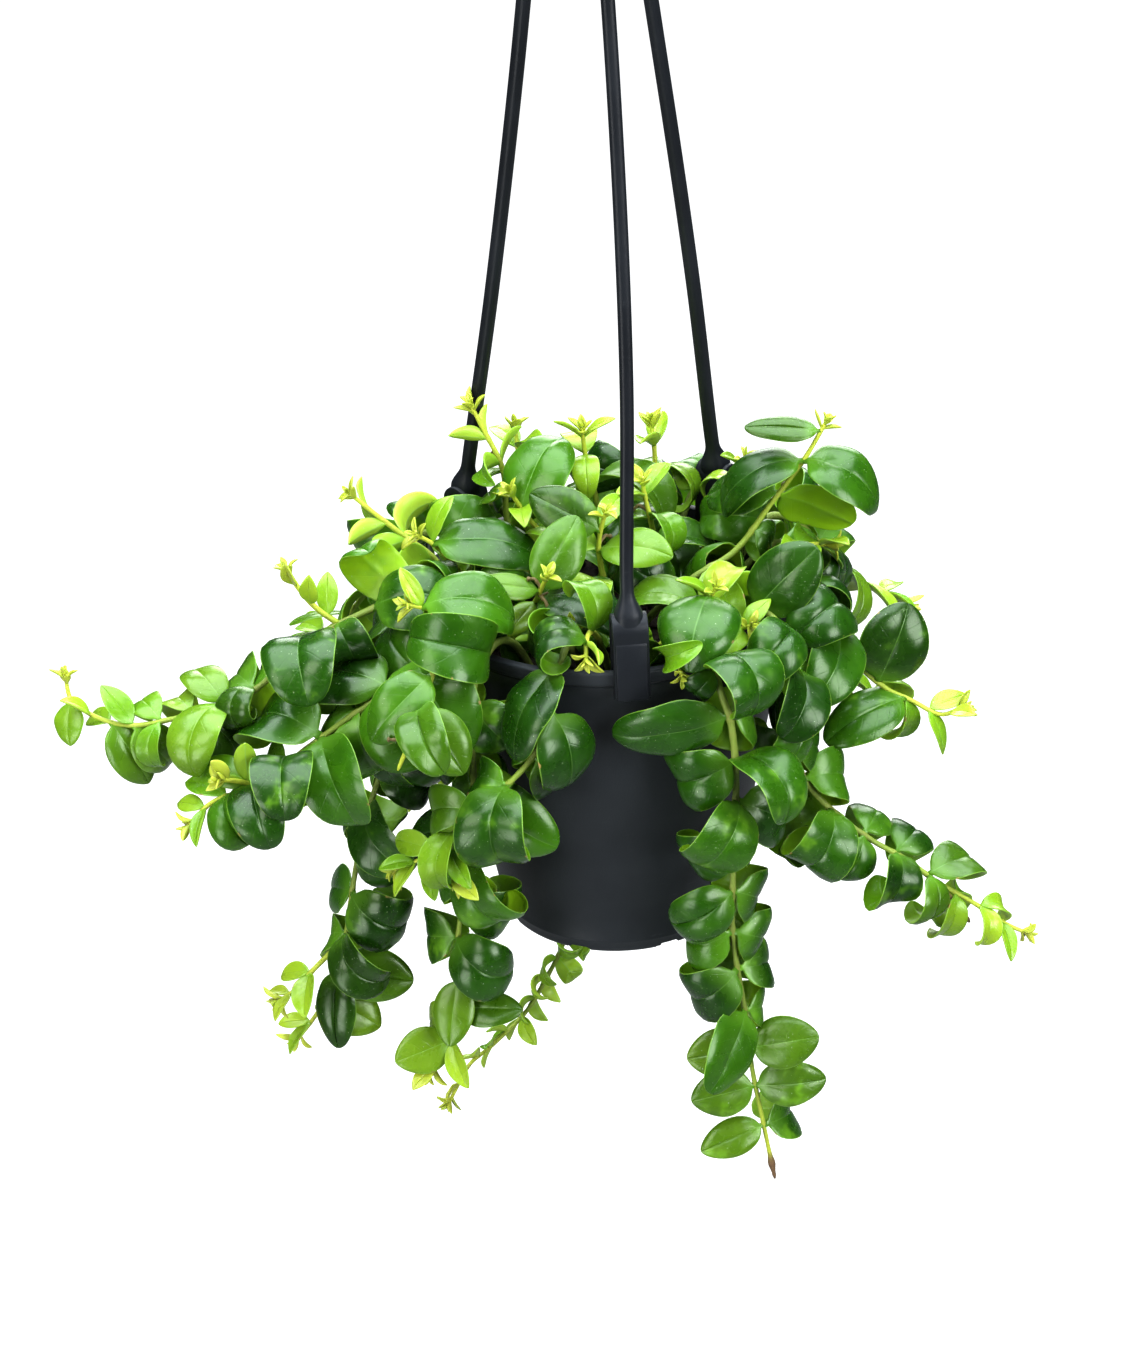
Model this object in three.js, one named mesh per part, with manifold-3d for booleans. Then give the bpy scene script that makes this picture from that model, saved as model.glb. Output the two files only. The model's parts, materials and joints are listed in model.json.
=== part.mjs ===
// A potted curly lipstick plant in a dark plastic pot, carried by three moulded straps under one hook.
// Millimetres, +Z up. The origin is the point inside the hook that rests on what the pot hangs from.
import * as THREE from "three";
import { mergeVertices } from "three/addons/utils/BufferGeometryUtils.js";
import Module from "manifold-3d";

// Driving dimensions of the hanger and the pot
const HANG = 415; // from the bearing point down to the top of the rim
const RIM_R = 70;
const RIM_H = 5;
const RIM_INNER_R = 66.4;
const WALL_TOP_R = 67.6;
const POT_H = 134;
const BASE_R = 44.6;
const BASE_INNER_R = 42.6;
const FOOT_H = 4;
const FLOOR_T = 2;
const POT_SIDES = 24;
const HOLE_COUNT = 8;
const HOLE_R = 3;
const HOLE_RING_R = 33;
const NOTCH_W = 7;
const NOTCH_START = -112; // degrees, the notch nearest the front
const SOIL_TOP = -14;
const GAP = 0.3; // clearance between neighbouring pieces

const ROD_R = 2.5;
const ROD_SIDES = 6;
const ROD_STEPS = 10;
const CLIP_W = 13;
const CLIP_TOP = 17; // where the clip's arch starts, above the rim
const CLIP_OUT_R = 73.2;
const CLIP_IN_R = 61.8;
const CLIP_FOOT = -9;
const HUB_R = 12;
const HUB_BOTTOM = 346;
const HUB_TOP = 366;
const SOCKET_DEPTH = 8;
const SOCKET_RING_R = 6.6;
const HOOK_WIRE_R = 3;
const HOOK_R = 18;
const HOOK_STEPS = 20;

// Driving dimensions of the plant
const STEM_R = 1.7;
const TIP_R = 0.8;
const STEM_DEPTH = 10; // how deep each stem stands in the soil
const HOLE_ROOM = 4.8; // corner radius of the four-sided hole in the soil round each stem
const RIPEN = 62; // a leaf reaches its full size this far from the shoot's tip
const CROWN_RIPEN = 34; // and this far on the short upright shoots
const LEAF_T = 1.7;
const YOUNG_T = 1.1;
const YOUNG_LEAF = 8;
const FINE_STEPS = 60; // steps that a leaf's midrib is worked out in
const POSED_RIPE = 38; // a leaf that is posed by hand is ripe from this length on
const LAST_PAIR = 4.5; // no pair of leaves stands nearer to a shoot's tip
const SPAN_STEPS = 8; // steps between two points of a shoot's route
const LEAF_WIDTH = 0.64; // width over length of a full leaf
const CURL_MOST = 5.2; // radians from root to tip
const BARE_STEP = 12; // length of stem from ring to ring where no leaf grows
const ROOT_HALF = 1.4; // half the length of stem that a leaf stands on
const CLEAR_FROM = 0.15; // share of a leaf, from its root, that may lie close to its own stem

// Each try turns a leaf about its stem, changes its curl and changes its size, in that order
const TRIES = [
  [0, 1, 1], [0.35, 1, 1], [-0.35, 1, 1], [0, 1.25, 1], [0.7, 1, 1], [-0.7, 1, 1], [0, 0.75, 1],
  [0.35, 1.3, 0.9], [-0.35, 1.3, 0.9], [1.05, 1.2, 0.9], [-1.05, 1.2, 0.9], [0, 1.4, 0.8],
  [0.5, 1.3, 0.75], [-0.5, 1.3, 0.75], [0, 1.5, 0.62], [0.5, 1, 0.52], [-0.5, 1, 0.52], [0, 1, 0.42],
];

// Every shoot: where it stands in the soil, the points it passes, its leafless length, the spacing of
// its pairs and its leaves' length. A branch is a second route that starts on the shoot, and bareEnd
// is a tip that has lost its leaves. Points are from the middle of the rim. The leaves that show most
// are posed: where each points, where its upper face looks, its size and how far it curls in radians.
const SHOOTS = [
  { name: "shoot_left_long", seed: 11, bare: 37, gap: 14, leaf: 37, ripen: 105, foot: [-34, -12], route: [
    [-52, -20, 10], [-68, -26, 15], [-85, -30, 10], [-102, -38, 6],
    [-116, -45, -1], [-133, -50, -13], [-159, -50, -21], [-179, -46, -25], [-196, -40, -19], [-199, -37, -8]],
    posed: [
    { pair: 3, side: 1, ahead: [8, -5, 3], face: [0, -5, 9], length: 42, width: 30, curl: 1.8 },
    { pair: 5, side: 1, ahead: [-2, -6, 8], face: [-1, 8, 6], length: 45, width: 27, curl: 2.8, cup: 0.15 },
    { pair: 9, side: 1, ahead: [9, -5, -2], face: [0, -5, 9], length: 30, width: 19, curl: 2.2 },
    { pair: 11, side: 1, ahead: [8, -5, -7], face: [-2, -6, 8], length: 28, width: 17, curl: 1.8 },
    { pair: 12, side: 1, ahead: [6, -5, -8], face: [2, -8, 5], length: 29, width: 16, curl: 1 },
    { pair: 14, side: 1, ahead: [-2, -7, -6], face: [-4, -6, 6], length: 17, width: 12, curl: 0.8 }],
    branch: [[-98, -36, 7], [-106, -36, 14], [-112, -35, 22], [-116, -33, 30]] },
  { name: "shoot_left_low", seed: 12, bare: 30, gap: 15, leaf: 40, foot: [-44, -24], route: [
    [-56, -40, 7], [-66, -52, 4], [-80, -58, -8], [-96, -63, -17],
    [-113, -68, -27], [-129, -72, -38], [-145, -74, -42], [-156, -75, -52]],
    posed: [
    { pair: 6, side: 1, ahead: [-1, -6, 8], face: [0, 8, 6], length: 40, width: 22, curl: 2.8, cup: 0.15 },
    { pair: 7, side: 1, ahead: [-2, -6, 7], face: [-2, 8, 6], length: 38, width: 20, curl: 2.8, cup: 0.15 },
    { pair: 8, side: 1, ahead: [-3, -6, 6], face: [-3, 8, 6], length: 35, width: 19, curl: 2.8, cup: 0.1 }],
    branch: [[-129, -72, -38], [-137, -78, -32], [-143, -82, -29]] },
  { name: "shoot_left_hanging", seed: 13, bare: 42, gap: 18, leaf: 35, foot: [-46, -4], route: [
    [-65, -14, 7], [-77, -20, -4], [-82, -26, -26], [-86, -32, -53],
    [-95, -36, -80], [-101, -40, -107], [-106, -41, -132], [-115, -42, -153], [-126, -44, -168]],
    posed: [
    { pair: 9, side: 1, ahead: [10, -3, -1], face: [0, -9, 4], length: 29, width: 20, curl: 0.4 },
    { pair: 9, side: -1, ahead: [-2, -6, -9], face: [-4, -8, 4], length: 32, width: 16, curl: 0.7 },
    { pair: 10, side: 1, ahead: [9, -4, -4], face: [0, -8, 6], length: 24, width: 18, curl: 0.6 }],
    branch: [[-104, -41, -124], [-116, -45, -134], [-125, -47, -143], [-132, -48, -147]] },
  { name: "shoot_front_left_hanging", seed: 14, bare: 46, gap: 18, leaf: 35, foot: [-30, -42], route: [
    [-36, -50, 4], [-43, -58, 7], [-50, -66, -4], [-52, -67, -34],
    [-52, -65, -62], [-56, -62, -89], [-61, -60, -111], [-63, -60, -142], [-66, -62, -158],
    [-75, -64, -172]],
    posed: [
    { pair: 8, side: -1, ahead: [-2, -6, -8], face: [-2, -9, 5], length: 26, width: 15, curl: 0.4 },
    { pair: 9, side: 1, ahead: [9, -4, 3], face: [0, -6, 8], length: 26, width: 14, curl: 0.5 },
    { pair: 10, side: -1, ahead: [-9, -3, -2], face: [0, -9, 4], length: 23, width: 17, curl: 0.3 }] },
  { name: "shoot_front_bare_tip", seed: 15, bare: 22, bareEnd: 20, gap: 14, leaf: 30, ripen: 30,
    foot: [-38, -36], route: [
    [-43, -43, 4], [-50, -53, 13], [-60, -70, 14], [-66, -81, 4],
    [-72, -90, -9], [-78, -93, -22]],
    posed: [
    { pair: 4, side: 1, ahead: [-7, -5, -3], face: [-3, -8, 5], length: 34, width: 19, curl: 1.2 },
    { pair: 5, side: -1, ahead: [5, -6, -6], face: [1, -9, 4], length: 28, width: 19, curl: 0.6 }] },
  { name: "shoot_front_left", seed: 16, bare: 24, gap: 15, leaf: 40, foot: [-12, -40], route: [
    [-16, -58, 6], [-19, -70, 4], [-24, -81, -10], [-31, -86, -24],
    [-45, -88, -38], [-58, -88, -50], [-69, -87, -61], [-83, -84, -69]],
    posed: [
    { pair: 2, side: 1, ahead: [-7, -6, -2], face: [-6, -4, 7], length: 40, width: 23, curl: 1.4 },
    { pair: 3, side: -1, ahead: [5, -6, -5], face: [3, -4, 8], length: 38, width: 25, curl: 2.2 }],
    branch: [[-61, -87, -53], [-62, -92, -62], [-59, -94, -70]] },
  { name: "shoot_back_long", seed: 17, bare: 96, gap: 13, leaf: 21, ripen: 150, foot: [-12, 36], route: [
    [-16, 58, 6], [-18, 71, 3], [-20, 77, -14], [-18, 76, -60],
    [-14, 70, -115], [-15, 63, -160], [-22, 59, -192], [-31, 55, -210], [-40, 48, -221], [-54, 36, -228],
    [-63, 26, -230], [-72, 18, -243]] },
  { name: "shoot_right_hanging", seed: 18, bare: 26, bareEnd: 9, gap: 18, leaf: 33, ripen: 26, spread: 0.45,
    foot: [22, -34], route: [
    [30, -58, 6], [34, -69, 4], [38, -75, -8], [41, -77, -20],
    [42, -78, -44], [40, -77, -87], [40, -75, -112], [44, -73, -146], [46, -70, -171], [50, -69, -198],
    [54, -68, -224]],
    posed: [
    { pair: 2, side: 1, ahead: [3, -2, 9], face: [-5, 7, 4], length: 50, width: 25, curl: 4.5 },
    { pair: 3, side: -1, ahead: [-9, -3, -2], face: [0, -10, -1], length: 44, width: 22, curl: 0.9 },
    { pair: 4, side: 1, ahead: [6, -5, 5], face: [0, 2, 10], length: 40, width: 25, curl: 2.6, cup: 0.2 },
    { pair: 11, side: -1, ahead: [-10, -3, 0], face: [0, -9, 4], length: 24, width: 18, curl: 0.5 },
    { pair: 11, side: 1, ahead: [9, -3, 3], face: [0, -9, 5], length: 27, width: 19, curl: 0.5 },
    { pair: 12, side: -1, ahead: [-10, -3, -1], face: [0, -9, 3], length: 25, width: 18, curl: 0.4 },
    { pair: 12, side: 1, ahead: [7, -4, 2], face: [2, -8, 3], length: 28, width: 17, curl: 1 },
    { pair: 13, side: -1, ahead: [-9, -3, -2], face: [0, -8, 6], length: 26, width: 14, curl: 0.4 }] },
  { name: "shoot_right_low", seed: 19, bare: 42, gap: 15, leaf: 33, foot: [36, -22], route: [
    [52, -38, 6], [61, -47, 3], [66, -54, -12], [65, -57, -32],
    [66, -57, -50], [76, -57, -66], [91, -58, -80], [105, -58, -90], [116, -58, -100], [131, -58, -111],
    [142, -58, -120], [151, -58, -125]],
    posed: [
    { pair: 0, side: 1, ahead: [6, -2, 8], face: [-2, -9, 5], length: 34, width: 23, curl: 0.6 }] },
  { name: "shoot_right", seed: 20, bare: 26, gap: 15, leaf: 39, foot: [40, -6], route: [
    [56, -14, 6], [70, -20, 5], [81, -25, -10], [90, -27, -24],
    [100, -30, -33], [110, -32, -38], [120, -34, -43], [129, -34, -40]],
    posed: [
    { pair: 3, side: 1, ahead: [5, -3, 8], face: [6, 5, 2], length: 46, width: 24, curl: 3.4 },
    { pair: 5, side: -1, ahead: [4, -2, 9], face: [2, -8, 4], length: 33, width: 25, curl: 1 },
    { pair: 6, side: 1, ahead: [-9, -6, 1], face: [0, -5, 9], length: 36, width: 20, curl: 1 }] },
  { name: "shoot_right_back_low", seed: 21, bare: 40, gap: 14, leaf: 30, foot: [44, 10], route: [
    [60, 12, 6], [72, 14, 3], [78, 12, -14], [82, 6, -32], [88, -2, -46],
    [92, -8, -58]] },
  { name: "shoot_right_rising", seed: 22, bare: 28, gap: 19, leaf: 39, foot: [14, -10], route: [
    [31, -11, 6], [47, -6, 14], [61, 0, 30], [73, 3, 45], [82, 5, 60]],
    posed: [
    { pair: 1, side: 1, ahead: [0, -8, -5], face: [3, -6, 7], length: 20, width: 11, curl: 0.4 },
    { pair: 2, side: 1, ahead: [8, -2, -2], face: [2, -7, 8], length: 38, width: 25, curl: 2.8 },
    { pair: 3, side: -1, ahead: [-9, 4, 1], face: [0, -6, 9], length: 34, width: 21, curl: 1 },
    { pair: 3, side: 1, ahead: [6, 3, -3], face: [2, 10, 3], length: 34, width: 22, curl: 0.5 },
    { pair: 4, side: -1, ahead: [-9, -1, 2], face: [-1, -3, 10], length: 42, width: 20, curl: 1.9 },
    { pair: 4, side: 1, ahead: [7, -3, 1], face: [3, -4, 9], length: 38, width: 24, curl: 1.8 },
    { pair: 5, side: -1, ahead: [-10, 0, 2], face: [0, -4, 10], length: 28, width: 12, curl: 0.3 }] },
  { name: "shoot_left_rising", seed: 23, bare: 22, gap: 16, leaf: 30, foot: [-28, 16], route: [
    [-36, 25, 12], [-37, 28, 34], [-43, 29, 50], [-48, 29, 62]] },
  { name: "shoot_left_spray", seed: 24, bare: 24, gap: 15, leaf: 34, foot: [-52, 8], route: [
    [-64, 10, 8], [-74, 11, 17], [-84, 12, 26], [-94, 12, 36]] },
  { name: "crown_rosette", seed: 31, bare: 18, gap: 12, leaf: 24, upright: true, foot: [-22, -18], route: [
    [-27, -26, 4], [-26, -37, 15], [-22, -43, 27]],
    posed: [
    { pair: 2, side: 1, ahead: [6, -5, 3], face: [2, -3, 10], length: 42, width: 22, curl: 1.8 },
    { pair: 2, side: -1, ahead: [-5, -6, -2], face: [-2, -7, 7], length: 18, width: 10, curl: 0.5 },
    { pair: 3, side: 1, ahead: [5, 4, 8], face: [0, -10, 5], length: 31, width: 18, curl: 0.4 },
    { pair: 3, side: -1, ahead: [-9, -2, 4], face: [0, -5, 9], length: 24, width: 11, curl: 0.5 }] },
  { name: "crown_front_roll", seed: 32, bare: 18, gap: 10, leaf: 39, upright: true,
    foot: [-8, -28], route: [
    [-12, -42, 2], [-14, -52, 10]] },
  { name: "crown_middle", seed: 33, bare: 21, gap: 12, leaf: 38, upright: true, foot: [0, -6], route: [
    [-2, -10, 8], [-3, -14, 24], [0, -16, 38]],
    posed: [
    { pair: 3, side: 1, ahead: [-8, 1, 5], face: [0, -10, 6], length: 30, width: 17, curl: 0.7 }] },
  { name: "crown_middle_left", seed: 34, bare: 21, gap: 12, leaf: 39, upright: true,
    foot: [-14, 4], route: [
    [-20, 8, 10], [-29, 9, 25], [-35, 8, 36]],
    posed: [
    { pair: 3, side: 1, ahead: [2, 1, 10], face: [-5, -8, 3], length: 36, width: 25, curl: 1.7 }] },
  { name: "crown_left", seed: 35, bare: 22, gap: 12, leaf: 42, upright: true, foot: [-44, 4], route: [
    [-52, -4, 6], [-62, -8, 22], [-70, -12, 30]],
    posed: [
    { pair: 3, side: 1, ahead: [9, -2, 3], face: [0, -4, 10], length: 44, width: 23, curl: 1.3 }] },
  { name: "crown_left_front", seed: 36, bare: 21, gap: 13, leaf: 41, upright: true,
    foot: [-34, -30], route: [
    [-42, -40, 7], [-57, -50, 17], [-73, -57, 25]],
    posed: [
    { pair: 4, side: 1, ahead: [7, -2, 6], face: [0, -5, 9], length: 44, width: 23, curl: 2.4 }] },
  { name: "crown_back_left", seed: 37, bare: 23, gap: 13, leaf: 37, upright: true, foot: [-24, 34], route: [
    [-28, 42, 12], [-31, 48, 30], [-32, 52, 42]] },
  { name: "crown_back", seed: 38, bare: 23, gap: 13, leaf: 37, upright: true, foot: [2, 28], route: [
    [-2, 32, 14], [-6, 32, 36], [-7, 30, 50]] },
  { name: "crown_back_right", seed: 39, bare: 23, gap: 13, leaf: 36, upright: true, foot: [18, 36], route: [
    [20, 44, 12], [20, 48, 32], [19, 50, 42]] },
  { name: "crown_right_back", seed: 40, bare: 23, gap: 13, leaf: 36, upright: true, foot: [34, 24], route: [
    [42, 30, 10], [50, 32, 24], [54, 32, 34]] },
  { name: "crown_middle_right", seed: 41, bare: 21, gap: 12, leaf: 36, upright: true,
    foot: [20, 10], route: [
    [18, 10, 12], [15, 10, 30], [14, 9, 38]] },
  { name: "crown_right_front", seed: 42, bare: 20, gap: 12, leaf: 40, upright: true, foot: [28, -24],
    route: [[33, -35, 6], [35, -45, 14], [38, -48, 22]],
    posed: [
    { pair: 3, side: 1, ahead: [-2, -8, 5], face: [0, -2, 10], length: 42, width: 29, curl: 2.2,
      cup: -0.2 }] },
  { name: "crown_drape_left", seed: 44, bare: 20, gap: 13, leaf: 38, ripen: 34, foot: [-2, -42], route: [
    [-6, -56, 9], [-9, -67, 14], [-10, -77, 9]],
    posed: [
    { pair: 3, side: 1, ahead: [-4, -1, 9], face: [9, 0, 4], length: 42, width: 21, curl: 5.1 }] },
  { name: "crown_drape_right", seed: 45, bare: 18, gap: 13, leaf: 36, ripen: 34, foot: [13, -46], route: [
    [18, -56, 4], [22, -67, 5], [24, -75, 0]] },
  { name: "crown_right_edge", seed: 46, bare: 18, gap: 10, leaf: 38, upright: true, foot: [37, -36],
    route: [[46, -47, 3], [50, -53, 8]] },
  { name: "crown_right", seed: 43, bare: 22, gap: 12, leaf: 40, upright: true, foot: [54, -2], route: [
    [61, -3, 8], [72, -4, 14], [84, -5, 14]] },
  { name: "shoot_back_left_hanging", seed: 51, bare: 40, gap: 20, leaf: 36, foot: [-30, 34], route: [
    [-37, 49, 5], [-44, 60, 5], [-53, 68, -10], [-60, 73, -32],
    [-66, 76, -58], [-72, 77, -86], [-76, 77, -112], [-82, 77, -136]] },
  { name: "shoot_back_left_low", seed: 52, bare: 34, gap: 17, leaf: 37, foot: [-50, 24], route: [
    [-57, 29, 5], [-67, 34, 7], [-78, 40, -2], [-88, 45, -18],
    [-99, 50, -34], [-112, 54, -46], [-126, 56, -58]] },
  { name: "shoot_back_hanging", seed: 53, bare: 40, gap: 20, leaf: 36, foot: [8, 42], route: [
    [12, 60, 6], [14, 72, 2], [16, 80, -16], [18, 82, -48], [18, 80, -80],
    [22, 78, -106], [28, 78, -126]] },
  { name: "shoot_back_right_hanging", seed: 54, bare: 40, gap: 20, leaf: 36, foot: [26, 46], route: [
    [34, 58, 6], [40, 67, 2], [46, 74, -16], [50, 78, -46], [52, 80, -78],
    [58, 82, -104]] },
  { name: "shoot_back_right_low", seed: 55, bare: 34, gap: 17, leaf: 37, foot: [48, 26], route: [
    [60, 34, 6], [72, 42, 1], [82, 50, -14], [92, 58, -30], [104, 64, -42],
    [118, 68, -52]] },
];

const wasm = await Module();
wasm.setup();

const pot_plastic = new THREE.MeshStandardMaterial({ color: 0x232529, roughness: 0.5, metalness: 0 });
const hanger_plastic = new THREE.MeshStandardMaterial({ color: 0x26282d, roughness: 0.42, metalness: 0 });
const potting_mix = new THREE.MeshStandardMaterial({ color: 0x33261b, roughness: 0.95, metalness: 0 });
const leaf_green = new THREE.MeshStandardMaterial({ color: 0x3f7a33, roughness: 0.35, metalness: 0 });

// Solids and meshes

function toSolid(geometry) {
  const merged = mergeVertices(stripped(geometry), 1e-4);
  const mesh = new wasm.Mesh({
    numProp: 3,
    vertProperties: new Float32Array(merged.attributes.position.array),
    triVerts: new Uint32Array(merged.index.array),
  });
  return new wasm.Manifold(mesh);
}

function stripped(geometry) {
  const bare = geometry.clone();
  bare.deleteAttribute("normal");
  bare.deleteAttribute("uv");
  return bare;
}

function toGeometry(solid) {
  const mesh = solid.getMesh();
  const geometry = new THREE.BufferGeometry();
  geometry.setAttribute("position", new THREE.BufferAttribute(new Float32Array(mesh.vertProperties), 3));
  geometry.setIndex(new THREE.BufferAttribute(new Uint32Array(mesh.triVerts), 1));
  geometry.computeVertexNormals();
  return geometry;
}

function lathe(profile, sides) {
  const points = profile.map(([r, z]) => new THREE.Vector2(r, z));
  return new THREE.LatheGeometry(points, sides).rotateX(Math.PI / 2);
}

function polar(radius, degrees, z = 0) {
  const angle = THREE.MathUtils.degToRad(degrees);
  return new THREE.Vector3(radius * Math.cos(angle), radius * Math.sin(angle), z);
}

function rod(points, radius, steps, sides) {
  const section = new THREE.Shape();
  for (let i = 0; i < sides; i += 1) {
    const angle = (2 * Math.PI * i) / sides;
    const corner = [radius * Math.cos(angle), radius * Math.sin(angle)];
    if (i === 0) section.moveTo(...corner);
    else section.lineTo(...corner);
  }
  const path = new THREE.CatmullRomCurve3(points);
  return new THREE.ExtrudeGeometry(section, { steps, extrudePath: path });
}

// The pot: a tapered shell with a thick rim band, a foot ring with notches, and holes in its floor

function innerRadius(z) {
  const slope = (RIM_INNER_R - BASE_INNER_R) / (POT_H - FOOT_H - FLOOR_T);
  return RIM_INNER_R + slope * z;
}

function makePot() {
  const floor = -POT_H + FOOT_H;
  const outline = [
    [0, floor], [BASE_R - 4.4, floor], [BASE_R - 4, -POT_H], [BASE_R - 1.8, -POT_H],
    [BASE_R, -POT_H + 2], [WALL_TOP_R, -RIM_H - 0.6],
    [RIM_R - 0.3, -RIM_H], [RIM_R, -RIM_H + 0.8], [RIM_R, -0.8], [RIM_R - 0.7, 0],
    [RIM_INNER_R, 0], [BASE_INNER_R + 0.3, floor + FLOOR_T + 1.5], [BASE_INNER_R - 1.4, floor + FLOOR_T],
    [0, floor + FLOOR_T],
  ];
  let pot = toSolid(lathe(outline, POT_SIDES));
  for (let i = 0; i < HOLE_COUNT; i += 1) {
    const turn = NOTCH_START + (360 * i) / HOLE_COUNT;
    const hole = new THREE.CylinderGeometry(HOLE_R, HOLE_R, 8, 6).rotateX(Math.PI / 2);
    const at = polar(HOLE_RING_R, turn + 180 / HOLE_COUNT, floor);
    pot = pot.subtract(toSolid(hole.translate(at.x, at.y, at.z)));
    const notch = new THREE.BoxGeometry(12, NOTCH_W, FOOT_H - 0.2);
    notch.rotateZ(THREE.MathUtils.degToRad(turn));
    const foot = polar(BASE_R - 2, turn, -POT_H + (FOOT_H - 0.2) / 2 - 0.2);
    pot = pot.subtract(toSolid(notch.translate(foot.x, foot.y, foot.z)));
  }
  return pot;
}

// The potting mix fills the pot, with a plain hole where each stem stands

function makeSoil() {
  const bottom = -POT_H + FOOT_H + FLOOR_T + GAP;
  const outline = [
    [0, bottom], [innerRadius(bottom) - 2.2, bottom], [innerRadius(bottom + 2) - GAP, bottom + 2],
    [innerRadius(SOIL_TOP) - GAP - 0.2, SOIL_TOP], [0, SOIL_TOP],
  ];
  let soil = toSolid(lathe(outline, POT_SIDES));
  const height = STEM_DEPTH + 2;
  for (const { foot } of SHOOTS) {
    const hole = new THREE.CylinderGeometry(HOLE_ROOM, HOLE_ROOM, height, 4).rotateX(Math.PI / 2);
    soil = soil.subtract(toSolid(hole.translate(...foot, SOIL_TOP - STEM_DEPTH - GAP + height / 2)));
  }
  return soil;
}

// A strap: an arched clip over the rim, and a round rod up to the hub

function makeClip() {
  const arch = new THREE.Shape();
  const leg = 64.4; // the face of the inner leg that looks at the rim
  const slot = RIM_R + 0.4; // the face of the outer leg that looks at the rim
  const middle = (CLIP_IN_R + CLIP_OUT_R) / 2;
  const outer = (CLIP_OUT_R - CLIP_IN_R) / 2;
  const slotMiddle = (leg + slot) / 2;
  arch.moveTo(CLIP_OUT_R - 0.7, CLIP_FOOT);
  arch.lineTo(CLIP_OUT_R, CLIP_FOOT + 1);
  arch.absarc(middle, CLIP_TOP, outer, 0, Math.PI, false);
  arch.lineTo(CLIP_IN_R, CLIP_FOOT + 3);
  arch.lineTo(leg, CLIP_FOOT + 3);
  arch.absarc(slotMiddle, CLIP_TOP, (slot - leg) / 2, Math.PI, 0, true);
  arch.lineTo(slot, -RIM_H - 0.4);
  arch.lineTo(68.5, -RIM_H - 0.9);
  arch.lineTo(68.5, CLIP_FOOT + 1.6);
  arch.lineTo(slot, CLIP_FOOT);
  arch.closePath();
  const block = new THREE.ExtrudeGeometry(arch, { depth: CLIP_W, bevelEnabled: false, curveSegments: 4 });
  return block.translate(0, 0, -CLIP_W / 2).rotateX(Math.PI / 2);
}

function makeStrap({ azimuth, hubAzimuth, bow }) {
  const turn = THREE.MathUtils.degToRad(azimuth);
  const clip = toSolid(makeClip().rotateZ(turn));
  const crown = CLIP_TOP + (CLIP_OUT_R - CLIP_IN_R) / 2;
  const foot = (CLIP_IN_R + CLIP_OUT_R) / 2;
  const neck = new THREE.CylinderGeometry(ROD_R, 5.6, 10, 6).rotateX(Math.PI / 2);
  const neckAt = polar(foot, azimuth, crown + 3);
  const top = HUB_BOTTOM + SOCKET_DEPTH - GAP;
  const from = polar(foot, azimuth, crown - 4);
  const to = polar(SOCKET_RING_R, hubAzimuth, top);
  const at = (share, push) => {
    const point = from.clone().lerp(to, share);
    return new THREE.Vector3(point.x + push[0], point.y + push[1], point.z);
  };
  const still = [0, 0];
  const half = [bow[0] * 0.75, bow[1] * 0.75];
  const points = [from, at(0.04, still), at(0.25, half), at(0.5, bow), at(0.75, half)];
  points.push(polar(SOCKET_RING_R + 1.2, hubAzimuth, HUB_BOTTOM - 16));
  points.push(polar(SOCKET_RING_R, hubAzimuth, HUB_BOTTOM - 2), to);
  const line = toSolid(rod(points, ROD_R, ROD_STEPS, ROD_SIDES));
  return clip.add(toSolid(neck.translate(neckAt.x, neckAt.y, neckAt.z))).add(line);
}

const STRAPS = [
  { name: "hanger_strap_front", azimuth: -85, hubAzimuth: -85, bow: [5, 0] },
  { name: "hanger_strap_right", azimuth: 50, hubAzimuth: 50, bow: [3, 0] },
  { name: "hanger_strap_left", azimuth: 140, hubAzimuth: 140, bow: [2.5, 0] },
];

// The hub takes the three rods in sockets, and the hook rises from its top

function makeHook() {
  const hub = lathe([
    [0, HUB_BOTTOM], [HUB_R - 1.5, HUB_BOTTOM], [HUB_R, HUB_BOTTOM + 1.5], [HUB_R, HUB_BOTTOM + 9],
    [HUB_R - 3, HUB_BOTTOM + 14], [5, HUB_TOP], [0, HUB_TOP]], 16);
  let solid = toSolid(hub);
  for (const { hubAzimuth } of STRAPS) {
    const radius = ROD_R + GAP + 0.7;
    const socket = new THREE.CylinderGeometry(radius, radius, SOCKET_DEPTH + 4, 8).rotateX(Math.PI / 2);
    const at = polar(SOCKET_RING_R, hubAzimuth, HUB_BOTTOM + (SOCKET_DEPTH - 4) / 2 + GAP);
    solid = solid.subtract(toSolid(socket.translate(at.x, at.y, at.z)));
  }
  const middle = HANG - HOOK_R + HOOK_WIRE_R;
  const points = [[0, HUB_TOP - 4], [0, HUB_TOP + 2], [5, HUB_TOP + 9], [14, HUB_TOP + 19]];
  for (let degrees = 0; degrees <= 180; degrees += 30) {
    const angle = THREE.MathUtils.degToRad(degrees);
    points.push([HOOK_R * Math.cos(angle), middle + HOOK_R * Math.sin(angle)]);
  }
  points.push([-HOOK_R - 1, middle - 9], [-HOOK_R - 5, middle - 16]);
  const line = points.map(([x, z]) => new THREE.Vector3(x, 0, z));
  const wire = rod(line, HOOK_WIRE_R, HOOK_STEPS, ROD_SIDES);
  return solid.add(toSolid(wire));
}

// Shoots: a stem along a route, with pairs of leaves

function seeded(seed) {
  let state = seed * 7919 + 17;
  return () => {
    state = (state * 1664525 + 1013904223) % 4294967296;
    return state / 4294967296;
  };
}

const UP = new THREE.Vector3(0, 0, 1);

function across(vector, axis) {
  return vector.clone().addScaledVector(axis, -vector.dot(axis)).normalize();
}

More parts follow.
